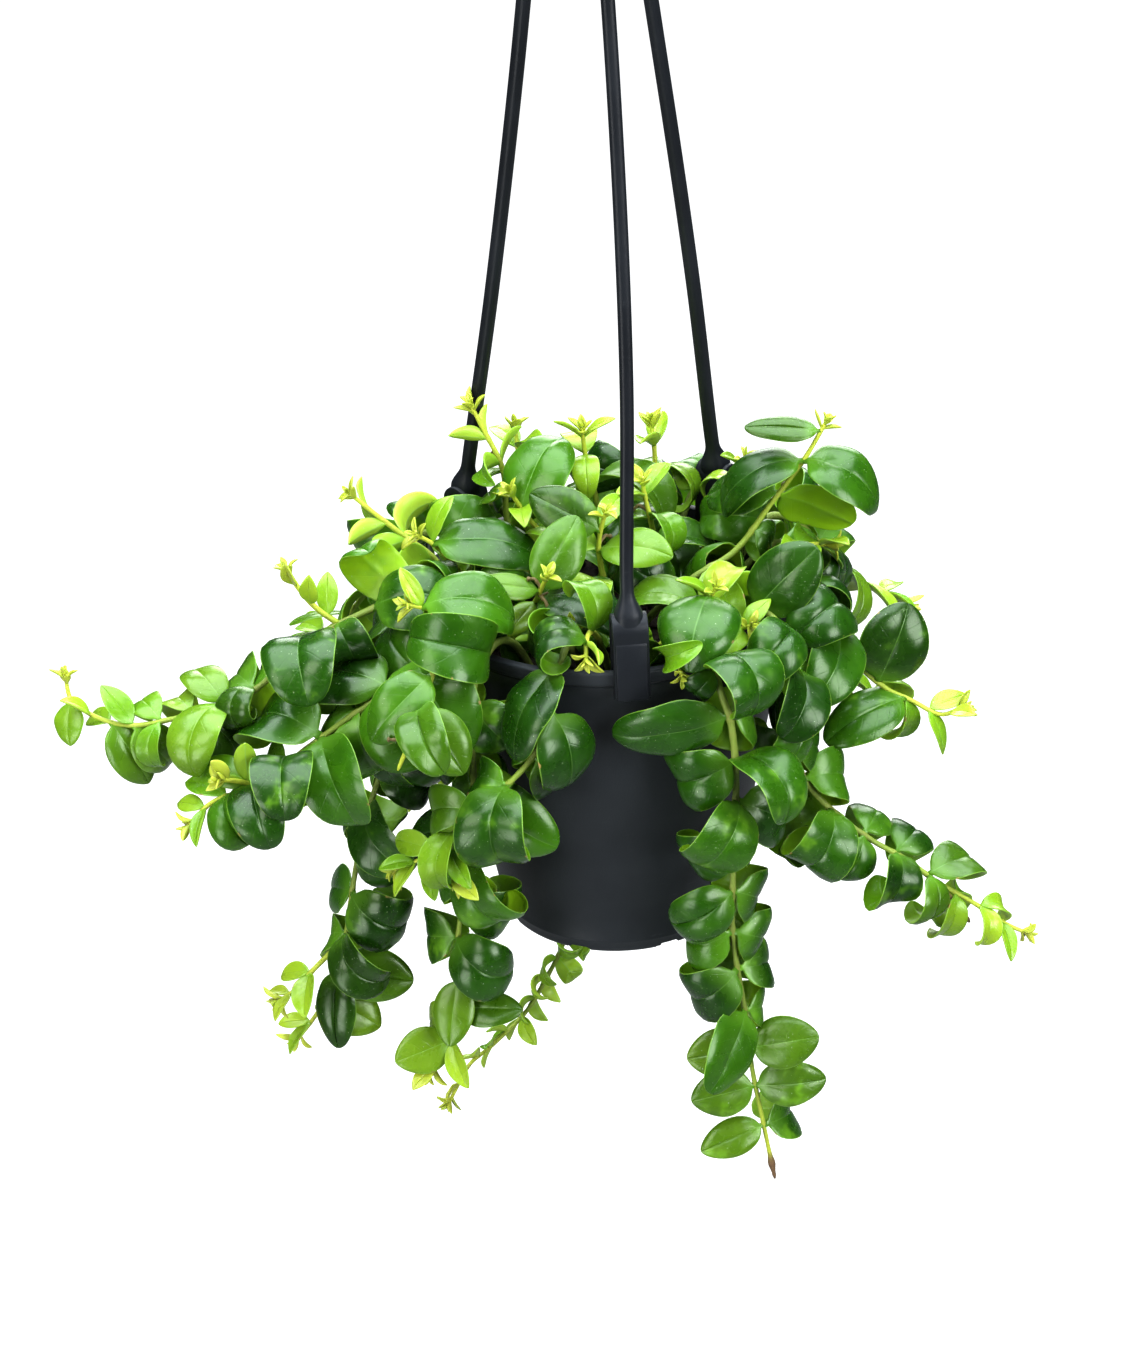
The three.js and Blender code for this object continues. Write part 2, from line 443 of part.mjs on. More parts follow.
// The side of a stem that its leaves' upper faces look to: up, and away from the plant's middle
function wantedFace(place) {
  const out = new THREE.Vector3(place.x, place.y, 0);
  if (out.length() < 1) out.set(0, -1, 0);
  return out.normalize().addScaledVector(UP, 0.7);
}

// A shoot stands upright in its hole in the soil before it bends
function standing({ foot, route }) {
  return [...[-STEM_DEPTH, -4, 3].map((z) => [...foot, SOIL_TOP + z]), ...route];
}

// A route keeps its places with the length up to each, the direction there and the side that faces the light
function makeRoute(points) {
  const knots = points.map((p) => new THREE.Vector3(...p));
  const curve = new THREE.CatmullRomCurve3(knots, false, "catmullrom", 0.5);
  const count = SPAN_STEPS * (points.length - 1);
  const places = [];
  for (let i = 0; i <= count; i += 1) places.push(curve.getPoint(i / count));
  const lengths = [0];
  for (let i = 1; i <= count; i += 1) lengths.push(lengths[i - 1] + places[i].distanceTo(places[i - 1]));
  const headings = places.map((_, i) => {
    const before = places[Math.max(i - 1, 0)];
    return places[Math.min(i + 1, count)].clone().sub(before).normalize();
  });
  const faces = [across(wantedFace(places[0]), headings[0])];
  for (let i = 1; i <= count; i += 1) {
    const blend = faces[i - 1].clone().addScaledVector(wantedFace(places[i]), 0.25);
    faces.push(across(blend, headings[i]));
  }
  return { places, lengths, headings, faces, total: lengths[count] };
}

function along(route, distance) {
  const { places, lengths, headings, faces } = route;
  let i = 1;
  while (i < places.length - 1 && lengths[i] < distance) i += 1;
  const share = (distance - lengths[i - 1]) / (lengths[i] - lengths[i - 1]);
  const place = places[i - 1].clone().lerp(places[i], share);
  const heading = headings[i - 1].clone().lerp(headings[i], share).normalize();
  const face = across(faces[i - 1].clone().lerp(faces[i], share), heading);
  return { place, heading, face, sideways: face.clone().cross(heading) };
}

// The pairs of one route: where each pair stands and how its two leaves lie
function leafPairs(shoot, route, bare, random) {
  const pairs = [];
  const ripen = shoot.ripen ?? (shoot.upright ? CROWN_RIPEN : RIPEN);
  let distance = bare;
  let index = 0;
  while (distance < route.total - (shoot.bareEnd ?? LAST_PAIR)) {
    const share = Math.min(1, (route.total - distance) / ripen);
    const quarter = shoot.upright && index % 2 ? Math.PI / 2 : 0;
    const tilt = shoot.upright ? 0 : (index % 2 ? 0.25 : -0.25) + (index % 3 === 2 ? 0.5 : 0);
    const turn = quarter + (tilt + (random() - 0.5) * 0.7) * (shoot.spread ?? 1);
    const leaves = [];
    for (const side of [1, -1]) {
      const roll = random();
      let curl = 0.5 + 1.2 * random() * share;
      if (share > 0.35 && roll < 0.86) curl = 2 + 1.4 * random();
      if (share > 0.5 && roll < 0.6) curl = 3.4 + 1.7 * random();
      const grown = YOUNG_LEAF + (shoot.leaf - YOUNG_LEAF) * Math.pow(share, 0.8);
      const length = grown * (0.88 + 0.24 * random()) * (1 + 0.07 * curl);
      const byRule = {
        side, turn, curl, length, share, upright: Boolean(shoot.upright),
        width: length * LEAF_WIDTH * (0.9 + 0.2 * random()) / (1 + 0.07 * curl) * (0.72 + 0.28 * share),
        lean: 0.1 + 0.35 * random() + 0.6 * (1 - share),
        twist: (random() - 0.5) * 1.1,
        cup: (random() - 0.4) * 0.5 + 0.4 * (1 - share),
      };
      const posed = shoot.posed?.find((leaf) => leaf.pair === index && leaf.side === side);
      const ripeness = posed && Math.min(1, posed.length / POSED_RIPE);
      leaves.push(posed ? { ...byRule, twist: 0, cup: 0, share: ripeness, ...posed } : byRule);
    }
    pairs.push({ distance, share, leaves });
    distance += (0.5 + 0.5 * share) * shoot.gap * (0.9 + 0.2 * random());
    index += 1;
  }
  return pairs;
}

// A posed leaf points where it is set to
function posedStart({ heading }, leaf, turnBy) {
  const ahead = new THREE.Vector3(...leaf.ahead).normalize().applyAxisAngle(heading, turnBy / 2);
  return { ahead, radial: across(ahead, heading), light: new THREE.Vector3(...leaf.face) };
}

// Every other leaf leaves its stem sideways, and its upper face turns to the light
function grownStart({ heading, face, sideways }, leaf, turnBy) {
  const angle = leaf.turn + turnBy;
  const forward = leaf.upright ? leaf.side : 1;
  const radial = sideways.clone().multiplyScalar(leaf.side * Math.cos(angle))
    .addScaledVector(face, forward * Math.sin(angle));
  const ahead = radial.clone().multiplyScalar(Math.cos(leaf.lean)).addScaledVector(heading, Math.sin(leaf.lean));
  if (!leaf.upright) ahead.addScaledVector(face, 0.2);
  ahead.normalize();
  const light = UP.clone().addScaledVector(face, leaf.upright ? 0.3 : 2).addScaledVector(heading, 0.3);
  return { ahead, radial, light };
}

// A leaf's starting frame on its stem, for one of the tries
function leafFrame(spot, leaf, trial) {
  const [turnBy, curlBy, sizeBy] = trial;
  const { ahead, radial, light } = (leaf.ahead ? posedStart : grownStart)(spot, leaf, turnBy);
  return {
    origin: spot.place, radial, ahead, upper: across(light, ahead),
    curl: Math.min(leaf.curl * curlBy, CURL_MOST), twist: leaf.twist, cup: leaf.cup,
    length: leaf.length * sizeBy, width: leaf.width * sizeBy, ripeness: leaf.share,
    thick: YOUNG_T + (LEAF_T - YOUNG_T) * leaf.share,
  };
}

// Half the blade's width at a share of its length, for a blade two wide. Young leaves are pointed, and
// ripe ones have nearly parallel sides and a blunt tip.
function outlineAt(share, ripeness) {
  const q = Math.min(Math.max((share - 0.07) / 0.93, 0), 1);
  return 0.13 * (1 - share) + 0.93 * Math.pow(Math.sin(Math.PI * Math.pow(q, 0.88)), 0.85 - 0.3 * ripeness);
}

function ringShares(frame) {
  if (frame.length < 13) return [0, 0.5, 1];
  if (frame.length < 22 || frame.curl < 2) return [0, 0.35, 0.7, 1];
  if (frame.curl > 3.8) return [0, 0.2, 0.4, 0.6, 0.8, 1];
  return [0, 0.25, 0.5, 0.75, 1];
}

// Rings of four points along the curled midrib: left margin, upper middle, right margin, lower middle
function leafRings(frame, shares, grow) {
  const { ahead, upper, length, width, curl, twist, cup } = frame;
  const axis = ahead.clone().cross(upper);
  const half = frame.thick / 2 + grow;
  const at = frame.origin.clone();
  const rings = [];
  for (let i = 0; i <= FINE_STEPS; i += 1) {
    const share = i / FINE_STEPS;
    const bend = curl * Math.pow(share, 1.2);
    const heading = ahead.clone().multiplyScalar(Math.cos(bend)).addScaledVector(upper, -Math.sin(bend));
    const normal = upper.clone().multiplyScalar(Math.cos(bend)).addScaledVector(ahead, Math.sin(bend));
    if (shares.some((wanted) => Math.round(wanted * FINE_STEPS) === i)) {
      const roll = twist * share;
      const right = axis.clone().multiplyScalar(Math.cos(roll)).addScaledVector(normal, Math.sin(roll));
      const face = normal.clone().multiplyScalar(Math.cos(roll)).addScaledVector(axis, -Math.sin(roll));
      const reach = (width / 2) * outlineAt(share, frame.ripeness) + grow;
      const rise = reach * Math.sin(cup);
      const out = reach * Math.cos(cup);
      rings.push({
        left: at.clone().addScaledVector(right, -out).addScaledVector(face, rise),
        top: at.clone().addScaledVector(face, half),
        right: at.clone().addScaledVector(right, out).addScaledVector(face, rise),
        low: at.clone().addScaledVector(face, -half),
        tip: at.clone().addScaledVector(heading, grow),
      });
    }
    at.addScaledVector(heading, length / FINE_STEPS);
  }
  return rings;
}

const corners = (ring) => [ring.left, ring.top, ring.right, ring.low];

// The faces from one ring of four to the next, split alike on the blade's upper and lower face
function joinRings(from, to) {
  const faces = [];
  for (let k = 0; k < 4; k += 1) {
    const n = (k + 1) % 4;
    if (k % 2 === 0) faces.push([from[k], from[n], to[n]], [from[k], to[n], to[k]]);
    else faces.push([from[k], from[n], to[k]], [from[n], to[n], to[k]]);
  }
  return faces;
}

const closeRing = (ring, point) => ring.map((a, k) => [a, ring[(k + 1) % 4], point]);

// A blade by itself, closed at both ends, a little larger all round: it finds out what a leaf would touch
function bladeSolid(frame, grow, from) {
  const shares = ringShares(frame).map((share) => Math.max(share, from));
  const rings = leafRings(frame, shares, grow);
  const tip = rings.pop().tip;
  const points = [...rings.flatMap(corners), tip];
  const index = rings.map((_, r) => [0, 1, 2, 3].map((k) => 4 * r + k));
  const faces = [[2, 1, 0], [3, 2, 0], ...closeRing(index.at(-1), points.length - 1)];
  for (let r = 1; r < index.length; r += 1) faces.push(...joinRings(index[r - 1], index[r]));
  return solidFrom(points, faces);
}

function solidFrom(points, faces) {
  const mesh = new wasm.Mesh({
    numProp: 3,
    vertProperties: new Float32Array(points.flatMap((p) => [p.x, p.y, p.z])),
    triVerts: new Uint32Array(faces.flat()),
  });
  return new wasm.Manifold(mesh);
}

function stemRadius(route, distance, thick) {
  return thick + (TIP_R - thick) * (distance / route.total);
}

// The rings of a stem: along the leafless length, then one on each side of every pair
function stemRings(route, bare, pairs, thick) {
  const stops = [];
  const steps = Math.max(1, Math.round((bare - ROOT_HALF) / BARE_STEP));
  for (let i = 0; i < steps; i += 1) stops.push(((bare - 2 * ROOT_HALF) * i) / steps);
  for (const { distance, share } of pairs) {
    const half = ROOT_HALF * (0.55 + 0.45 * share);
    stops.push(distance - half, distance + half);
  }
  stops.push(route.total);
  return stops.map((distance) => {
    const { place, face, sideways } = along(route, distance);
    const radius = stemRadius(route, distance, thick);
    return [0.25, 0.75, 1.25, 1.75].map((turn) => place.clone()
      .addScaledVector(sideways, radius * Math.cos(turn * Math.PI))
      .addScaledVector(face, radius * Math.sin(turn * Math.PI)));
  });
}

// One stem as a closed solid, with each placed leaf growing out of the side that it stands on
function stemSolid(rings, pairs, placed) {
  const points = rings.flat();
  const index = rings.map((_, r) => [0, 1, 2, 3].map((k) => 4 * r + k));
  const faces = [[2, 1, 0], [3, 2, 0]];
  const leavesAt = new Map();
  const firstPair = rings.length - 1 - 2 * pairs.length;
  for (const { pair, side, frame } of placed) leavesAt.set(`${firstPair + 2 * pair} ${side}`, frame);
  for (let r = 1; r < rings.length; r += 1) {
    for (let k = 0; k < 4; k += 1) {
      const n = (k + 1) % 4;
      const patch = [index[r - 1][k], index[r - 1][n], index[r][n], index[r][k]];
      const frame = leavesAt.get(`${r - 1} ${k}`);
      if (frame) faces.push(...growLeaf(frame, patch, points));
      else faces.push([patch[0], patch[1], patch[2]], [patch[0], patch[2], patch[3]]);
    }
  }
  const end = index.at(-1);
  faces.push([end[0], end[1], end[2]], [end[0], end[2], end[3]]);
  return solidFrom(points, faces);
}

// A leaf that starts at four points of its stem, turned so that its root twists least
function growLeaf(frame, patch, points) {
  const rings = leafRings(frame, ringShares(frame).slice(1), 0);
  const tip = rings.pop().tip;
  const first = corners(rings[0]);
  const spread = [0, 1, 2, 3].map((shift) => first.reduce(
    (sum, corner, k) => sum + corner.distanceToSquared(points[patch[(k + shift) % 4]]), 0));
  const shift = spread.indexOf(Math.min(...spread));
  let from = [0, 1, 2, 3].map((k) => patch[(k + shift) % 4]);
  const faces = [];
  for (const ring of rings) {
    const to = [0, 1, 2, 3].map((k) => points.length + k);
    points.push(...corners(ring));
    faces.push(...joinRings(from, to));
    from = to;
  }
  points.push(tip);
  return [...faces, ...closeRing(from, points.length - 1)];
}

// The side of the stem, of four, that a leaf leaves from
function stemSide(spot, radial) {
  const angle = Math.atan2(radial.dot(spot.face), radial.dot(spot.sideways));
  return (Math.round((2 * angle) / Math.PI) + 3) % 4;
}

// A shoot before its leaves are placed: its stems, and the leaves that want a place on them
function plan(shoot) {
  const random = seeded(shoot.seed);
  const routes = [{ points: standing(shoot), bare: shoot.bare, thick: STEM_R }];
  if (shoot.branch) routes.push({ points: shoot.branch, bare: 5, thick: 1.2 });
  const own = { name: shoot.name, stems: [], wanted: [], blades: [] };
  for (const { points, bare, thick } of routes) {
    const route = makeRoute(points);
    const pairs = leafPairs(shoot, route, bare, random);
    const rings = stemRings(route, bare, pairs, thick);
    const stem = { rings, pairs, placed: [], ...withBox(stemSolid(rings, pairs, [])) };
    own.stems.push(stem);
    pairs.forEach(({ distance, leaves }, pair) => {
      leaves.forEach((leaf) => own.wanted.push({ leaf, pair, stem, spot: along(route, distance) }));
    });
  }
  return own;
}

function withBox(solid) {
  const { min, max } = solid.boundingBox();
  return { solid, box: new THREE.Box3(new THREE.Vector3(...min), new THREE.Vector3(...max)) };
}

function touches(item, others) {
  return others.some((other) => {
    if (!other.box.intersectsBox(item.box)) return false;
    const shared = item.solid.intersect(other.solid);
    const hit = shared.volume() > 1e-5;
    shared.delete();
    return hit;
  });
}

// A leaf takes the first try that keeps it clear of everything but its own stem's root
function placeLeaf(own, { leaf, pair, stem, spot }, obstacles) {
  for (const trial of TRIES) {
    const frame = leafFrame(spot, leaf, trial);
    const side = stemSide(spot, frame.radial);
    if (stem.placed.some((other) => other.pair === pair && other.side === side)) continue;
    const whole = withBox(bladeSolid(frame, 0.45, 0));
    if (touches(whole, obstacles.filter((item) => item.owner !== own))) continue;
    const blade = withBox(bladeSolid(frame, 0.25, CLEAR_FROM));
    if (touches(blade, [...own.stems, ...own.blades])) continue;
    own.blades.push(withBox(bladeSolid(frame, 0, CLEAR_FROM)));
    stem.placed.push({ pair, side, frame });
    obstacles.push({ ...withBox(bladeSolid(frame, 0, 0)), owner: own });
    return;
  }
}

function growShoots(hardware) {
  const shoots = SHOOTS.map(plan);
  const obstacles = hardware.map(withBox);
  shoots.forEach((own) => own.stems.forEach((stem) => obstacles.push({ ...stem, owner: own })));
  // The posed leaves come first, then every shoot in turn places one of its leaves
  const turns = shoots.flatMap((own) => own.wanted.map(
    (wish, i) => ({ own, wish, round: wish.leaf.ahead ? -1 : i })));
  turns.sort((a, b) => a.round - b.round);
  for (const { own, wish } of turns) placeLeaf(own, wish, obstacles);
  return shoots;
}

// The scene: everything hangs below the bearing point
const plant = new THREE.Group();
const hanging = new THREE.Group();
hanging.position.z = -HANG;
plant.add(hanging);

function addPiece(name, solid, material) {
  const mesh = new THREE.Mesh(toGeometry(solid), material);
  mesh.name = name;
  hanging.add(mesh);
}

const pot = makePot();
const soil = makeSoil();
const hook = makeHook();
const straps = STRAPS.map(makeStrap);
addPiece("pot", pot, pot_plastic);
addPiece("soil", soil, potting_mix);
addPiece("hanger_hook", hook, hanger_plastic);
straps.forEach((strap, i) => addPiece(STRAPS[i].name, strap, hanger_plastic));
for (const { name, stems } of growShoots([pot, soil, hook, ...straps])) {
  const bodies = stems.map(({ rings, pairs, placed }) => stemSolid(rings, pairs, placed));
  addPiece(name, bodies.reduce((body, branch) => body.add(branch)), leaf_green);
}

export default plant;
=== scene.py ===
# %% [markdown]
# # A potted curly lipstick plant, from solids to a finished picture
# The plant hangs: a dark plastic pot, three moulded straps that meet under one hook, and long shoots
# with thick leaves that curl up into barrels. The solids of it already exist as a fixed frame.
# This lesson dresses that frame. Each step says what the piece is, how it could be made,
# and why it is made the way it is.

# %% Load the fixed frame
import json
import math
import random

import bpy
import numpy as np
from mathutils import Matrix, Vector, kdtree, noise

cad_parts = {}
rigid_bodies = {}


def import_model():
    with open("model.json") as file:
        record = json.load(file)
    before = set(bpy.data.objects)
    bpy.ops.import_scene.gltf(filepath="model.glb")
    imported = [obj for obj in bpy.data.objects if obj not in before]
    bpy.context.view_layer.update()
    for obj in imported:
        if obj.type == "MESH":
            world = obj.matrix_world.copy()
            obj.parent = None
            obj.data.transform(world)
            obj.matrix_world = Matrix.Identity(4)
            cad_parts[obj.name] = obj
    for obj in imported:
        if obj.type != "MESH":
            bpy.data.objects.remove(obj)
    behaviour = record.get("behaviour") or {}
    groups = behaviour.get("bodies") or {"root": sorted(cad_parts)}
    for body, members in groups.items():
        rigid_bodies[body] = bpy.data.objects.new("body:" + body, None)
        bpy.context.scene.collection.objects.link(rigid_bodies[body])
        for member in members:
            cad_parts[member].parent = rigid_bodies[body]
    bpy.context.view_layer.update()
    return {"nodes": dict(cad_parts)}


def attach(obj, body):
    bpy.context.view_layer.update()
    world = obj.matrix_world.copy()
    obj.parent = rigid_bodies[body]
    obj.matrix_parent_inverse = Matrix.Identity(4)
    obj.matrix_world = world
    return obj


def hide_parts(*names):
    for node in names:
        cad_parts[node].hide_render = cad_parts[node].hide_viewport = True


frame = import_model()

# %% [markdown]
# ## One way to give a place
# The frame's origin is the point inside the hook that bears the weight, and its unit is the metre.
# A plant is easier to describe from the middle of the pot's rim and in millimetres, so one helper
# turns such numbers into the frame's own. Whole arrays of points go through it at once.

# %% Places and small helpers
HANG = 415.0  # from the bearing point in the hook down to the top of the rim, in millimetres
PER_METRE = 1000.0  # millimetres in a metre


def to_frame(points):
    return (np.asarray(points, float) - (0.0, 0.0, HANG)) / PER_METRE


def unit(vector):
    return vector / np.linalg.norm(vector)


def across(vector, axis):
    """What is left of a direction when its part along an axis is taken away, one long."""
    return unit(vector - axis * vector.dot(axis))


def smooth_step(low, high, value):
    share = np.clip((np.asarray(value, float) - low) / (high - low), 0.0, 1.0)
    return share * share * (3.0 - 2.0 * share)


def polar(radius, degrees, z=0.0):
    angle = math.radians(degrees)
    return np.array([radius * math.cos(angle), radius * math.sin(angle), z])


# %% [markdown]
# ## The camera
# The photograph looks down at the pot from the front with a long lens, and its horizon tilts a little.
# The camera could be aimed by an empty and a constraint. A plain matrix from two directions, which were
# fitted to the rim and the foot of the pot in the photograph, is exact and stays put, so it is used
# here, with the lens given for a sensor as tall as the picture.

# %% Camera at the photograph's angle
CAMERA_PLACE = (-18.87, -1375.08, 725.21)
CAMERA_RIGHT = (0.998983, -0.021863, -0.039429)
CAMERA_UP = (0.045085, 0.484437, 0.873664)
FOCAL_PIXELS = 4201.0
PICTURE_HEIGHT = 1346.0
SENSOR_HEIGHT = 36.0  # the lens below is in millimetres for this height

camera_data = bpy.data.cameras.new("camera")
camera_data.sensor_fit = "VERTICAL"
camera_data.sensor_height = SENSOR_HEIGHT
camera_data.lens = FOCAL_PIXELS / PICTURE_HEIGHT * SENSOR_HEIGHT
camera = bpy.data.objects.new("camera", camera_data)
right, up = unit(np.array(CAMERA_RIGHT)), unit(np.array(CAMERA_UP))
back = np.cross(right, up)
turned = Matrix(np.column_stack([right, up, back]).tolist()).to_4x4()
turned.translation = Vector(to_frame(CAMERA_PLACE))
camera.matrix_world = turned
bpy.context.scene.collection.objects.link(camera)
bpy.context.scene.camera = camera
print("lens in millimetres:", round(camera_data.lens, 2))

# %% [markdown]
# ## Building meshes from arrays
# Every piece below ends as a plain mesh. Blender's operators would work too, but arrays of points and
# faces let one function make four hundred leaves in a few seconds, and let each point carry numbers, as
# of how old its leaf is, that the materials read later as attributes.

# %% A mesh object from arrays
def make_smooth(mesh):
    mesh.polygons.foreach_set("use_smooth", [True] * len(mesh.polygons))


def make_piece(name, points, faces, materials, replaces=(), numbers=None):
    mesh = bpy.data.meshes.new(name)
    mesh.from_pydata(to_frame(points).tolist(), [], faces)
    make_smooth(mesh)
    for material in materials:
        mesh.materials.append(material)
    for label, values in (numbers or {}).items():  # three numbers for each point
        attribute = mesh.attributes.new(label, "FLOAT_VECTOR", "POINT")
        attribute.data.foreach_set("vector", np.asarray(values, np.float32).ravel())
    mesh.update()
    piece = bpy.data.objects.new(name, mesh)
    bpy.context.scene.collection.objects.link(piece)
    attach(piece, "root")
    if replaces:
        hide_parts(*replaces)
    return piece


def apply_modifiers(piece):
    bpy.context.view_layer.objects.active = piece
    for modifier in list(piece.modifiers):
        with bpy.context.temp_override(object=piece, active_object=piece, selected_objects=[piece]):
            bpy.ops.object.modifier_apply(modifier=modifier.name)


class Shell:
    """Collects points and faces of one piece, with the attribute numbers of each point."""

    def __init__(self):
        self.points, self.faces, self.numbers, self.count = [], [], {}, 0

    def add(self, points, faces, **numbers):
        start = self.count
        self.points.append(np.asarray(points, float))
        self.faces.extend([[start + k for k in face] for face in faces])
        for label, values in numbers.items():
            self.numbers.setdefault(label, []).append(np.asarray(values, float))
        self.count += len(points)

    def piece(self, name, materials, slot, replaces=()):
        numbers = {label: np.concatenate(values) for label, values in self.numbers.items()}
        return make_piece(name, np.concatenate(self.points), self.faces, materials, replaces, numbers)


# %% [markdown]
# ## Turned and swept forms
# The pot, the hub and the potting mix are turned forms: a profile goes round an axis. The rods, the hook
# and the stems are swept: a section goes along a line. Blender has a Screw modifier and bevelled curves
# for both. Two short functions give the same forms with full say over the number of sides, and the
# sweep carries its section along without a twist.

# %% Turned forms
def turned_form(profile, sides, bend=None):
    """Points and faces of a profile of (radius, height) turned round the axis; its ends lie on the axis."""
    ring_count = len(profile) - 2
    angles = np.arange(sides) * 2.0 * math.pi / sides
    points = [(0.0, 0.0, profile[0][1])]
    for radius, height in profile[1:-1]:
        ring = np.column_stack([radius * np.cos(angles), radius * np.sin(angles), np.full(sides, height)])
        points.extend(bend(ring, angles) if bend else ring)
    points.append((0.0, 0.0, profile[-1][1]))
    last = len(points) - 1
    faces = []
    for here in range(sides):
        beside = (here + 1) % sides
        faces.append([0, 1 + beside, 1 + here])
        for ring in range(ring_count - 1):
            lower, upper = 1 + ring * sides, 1 + (ring + 1) * sides
            faces.append([lower + here, lower + beside, upper + beside, upper + here])
        end = 1 + (ring_count - 1) * sides
        faces.append([end + here, end + beside, last])
    return np.array(points, float), faces


# %% Swept forms
def carried_sides(places, first_side):
    """Two sideways directions at each place of a line, carried on without a twist."""
    headings = np.gradient(places, axis=0)
    headings /= np.linalg.norm(headings, axis=1)[:, None]
    side = np.array(first_side, float)
    sides = []
    for heading in headings:
        side = across(side, heading)
        sides.append(side)
    return np.array(sides), np.cross(headings, np.array(sides))


def swept_form(places, radii, section, first_side):
    """A closed form: the section, a list of (x, y) for a radius of one, goes along the places."""
    places = np.asarray(places, float)
    side, other = carried_sides(places, first_side)
    section = np.asarray(section, float)
    count = len(section)
    radii = np.broadcast_to(np.asarray(radii, float), (len(places),))
    offsets = side[:, None, :] * section[None, :, 0:1] + other[:, None, :] * section[None, :, 1:2]
    rings = places[:, None, :] + offsets * radii[:, None, None]
    points = rings.reshape(-1, 3)
    faces = [list(range(count))[::-1]]
    for ring in range(len(places) - 1):
        lower, upper = ring * count, (ring + 1) * count
        for here in range(count):
            beside = (here + 1) % count
            faces.append([lower + here, lower + beside, upper + beside, upper + here])
    faces.append([(len(places) - 1) * count + here for here in range(count)])
    return points, faces


def round_section(sides):
    angles = np.arange(sides) * 2.0 * math.pi / sides
    return np.column_stack([np.cos(angles), np.sin(angles)])


def squarish_section(sides, power):
    """A circle pushed towards a square, so that light lies flat along each face."""
    ring = round_section(sides)
    return ring / (np.abs(ring) ** power).sum(axis=1)[:, None] ** (1.0 / power)


# %% [markdown]
# ## Shader tools
# A material is a network of nodes. Writing each node by hand hides the idea behind it, so a small
# workbench class adds nodes in one line each: noise, ramps, mixes, sums and bumps.

# %% A workbench for node networks
COLOUR_A, COLOUR_B, MIXED_COLOUR = 6, 7, 2  # the colour sockets among those of a Mix node


class Bench:
    """Adds nodes to one tree. Each method gives back the socket that holds its result."""

    def __init__(self, tree):
        self.tree = tree

    def node(self, kind, **settings):
        made = self.tree.nodes.new(kind)
        for name, value in settings.items():
            setattr(made, name, value)
        return made

    def feed(self, value, socket):
        """A socket takes a link from another socket, or else a plain value; None leaves it as it is."""
        if isinstance(value, bpy.types.NodeSocket):
            self.tree.links.new(value, socket)
        elif value is not None:
            socket.default_value = value

    def maths(self, operation, a, b=None, clamp=False):
        made = self.node("ShaderNodeMath", operation=operation, use_clamp=clamp)
        for value, socket in zip((a, b), made.inputs):
            self.feed(value, socket)
        return made.outputs[0]

    def times(self, a, b):
        return self.maths("MULTIPLY", a, b)

    def plus(self, a, b):
        return self.maths("ADD", a, b)

    def noise(self, scale, detail=2.0, roughness=0.5, stretch=None):
        where = self.node("ShaderNodeTexCoord").outputs["Object"]
        if stretch:
            mapping = self.node("ShaderNodeMapping")
            self.feed(where, mapping.inputs["Vector"])
            mapping.inputs["Scale"].default_value = stretch
            where = mapping.outputs[0]
        made = self.node("ShaderNodeTexNoise")
        self.feed(where, made.inputs["Vector"])
        for name, value in (("Scale", scale), ("Detail", detail), ("Roughness", roughness)):
            self.feed(value, made.inputs[name])
        return made.outputs["Fac"]

    def band(self, value, low, high, out_low=0.0, out_high=1.0):
        """A smooth rise from out_low to out_high while the value goes from low to high."""
        made = self.node("ShaderNodeMapRange", interpolation_type="SMOOTHSTEP")
        self.feed(value, made.inputs["Value"])
        for name, number in zip(("From Min", "From Max", "To Min", "To Max"), (low, high, out_low, out_high)):
            self.feed(number, made.inputs[name])
        return made.outputs["Result"]

    def ramp(self, value, stops):
        made = self.node("ShaderNodeValToRGB")
        elements = made.color_ramp.elements
        while len(elements) < len(stops):
            elements.new(0.5)
        for element, (place, colour) in zip(elements, stops):
            element.position = place
            element.color = (*colour, 1.0)
        self.feed(value, made.inputs["Fac"])
        return made.outputs["Color"]

    def mix(self, share, a, b):
        made = self.node("ShaderNodeMix", data_type="RGBA")
        self.feed(share, made.inputs["Factor"])
        for value, socket in ((a, made.inputs[COLOUR_A]), (b, made.inputs[COLOUR_B])):
            self.feed((*value, 1.0) if isinstance(value, tuple) else value, socket)
        return made.outputs[MIXED_COLOUR]

    def bump(self, height, distance, strength=1.0):
        """A normal from a height; the distance is how far a height of one stands out, in metres."""
        made = self.node("ShaderNodeBump")
        for name, value in (("Height", height), ("Distance", distance), ("Strength", strength)):
            self.feed(value, made.inputs[name])
        return made.outputs[0]

    def numbers(self, label):
        """The three numbers that a mesh's points carry under a label."""
        attribute = self.node("ShaderNodeAttribute", attribute_name=label)
        split = self.node("ShaderNodeSeparateXYZ")
        self.feed(attribute.outputs["Vector"], split.inputs[0])
        return split.outputs[0], split.outputs[1], split.outputs[2]

    def group(self, group, **values):
        made = self.node("ShaderNodeGroup", node_tree=group)
        for name, value in values.items():
            self.feed(value, made.inputs[name])
        return made.outputs


def new_material(name):
    material = bpy.data.materials.new(name)
    material.use_nodes = True
    return material, Bench(material.node_tree), material.node_tree.nodes["Principled BSDF"]


def new_group(name, inputs, outputs):
    tree = bpy.data.node_groups.new(name, "ShaderNodeTree")
    for label, value in inputs:
        socket = tree.interface.new_socket(label, in_out="INPUT", socket_type="NodeSocketFloat")
        socket.default_value = value
    for label in outputs:
        tree.interface.new_socket(label, in_out="OUTPUT", socket_type="NodeSocketFloat")
    given = tree.nodes.new("NodeGroupInput").outputs
    results = tree.nodes.new("NodeGroupOutput").inputs
    return tree, Bench(tree), given, results


# %% [markdown]
# ## Effects that several finishes share
# Fine grain and scuffs show on the plastic and on the leaves alike, only in other amounts, and dust
# lies on all the plastic. Each is a node group with named inputs, built once. A group only gives out
# masks and heights, and the shader that uses them stays in its material.

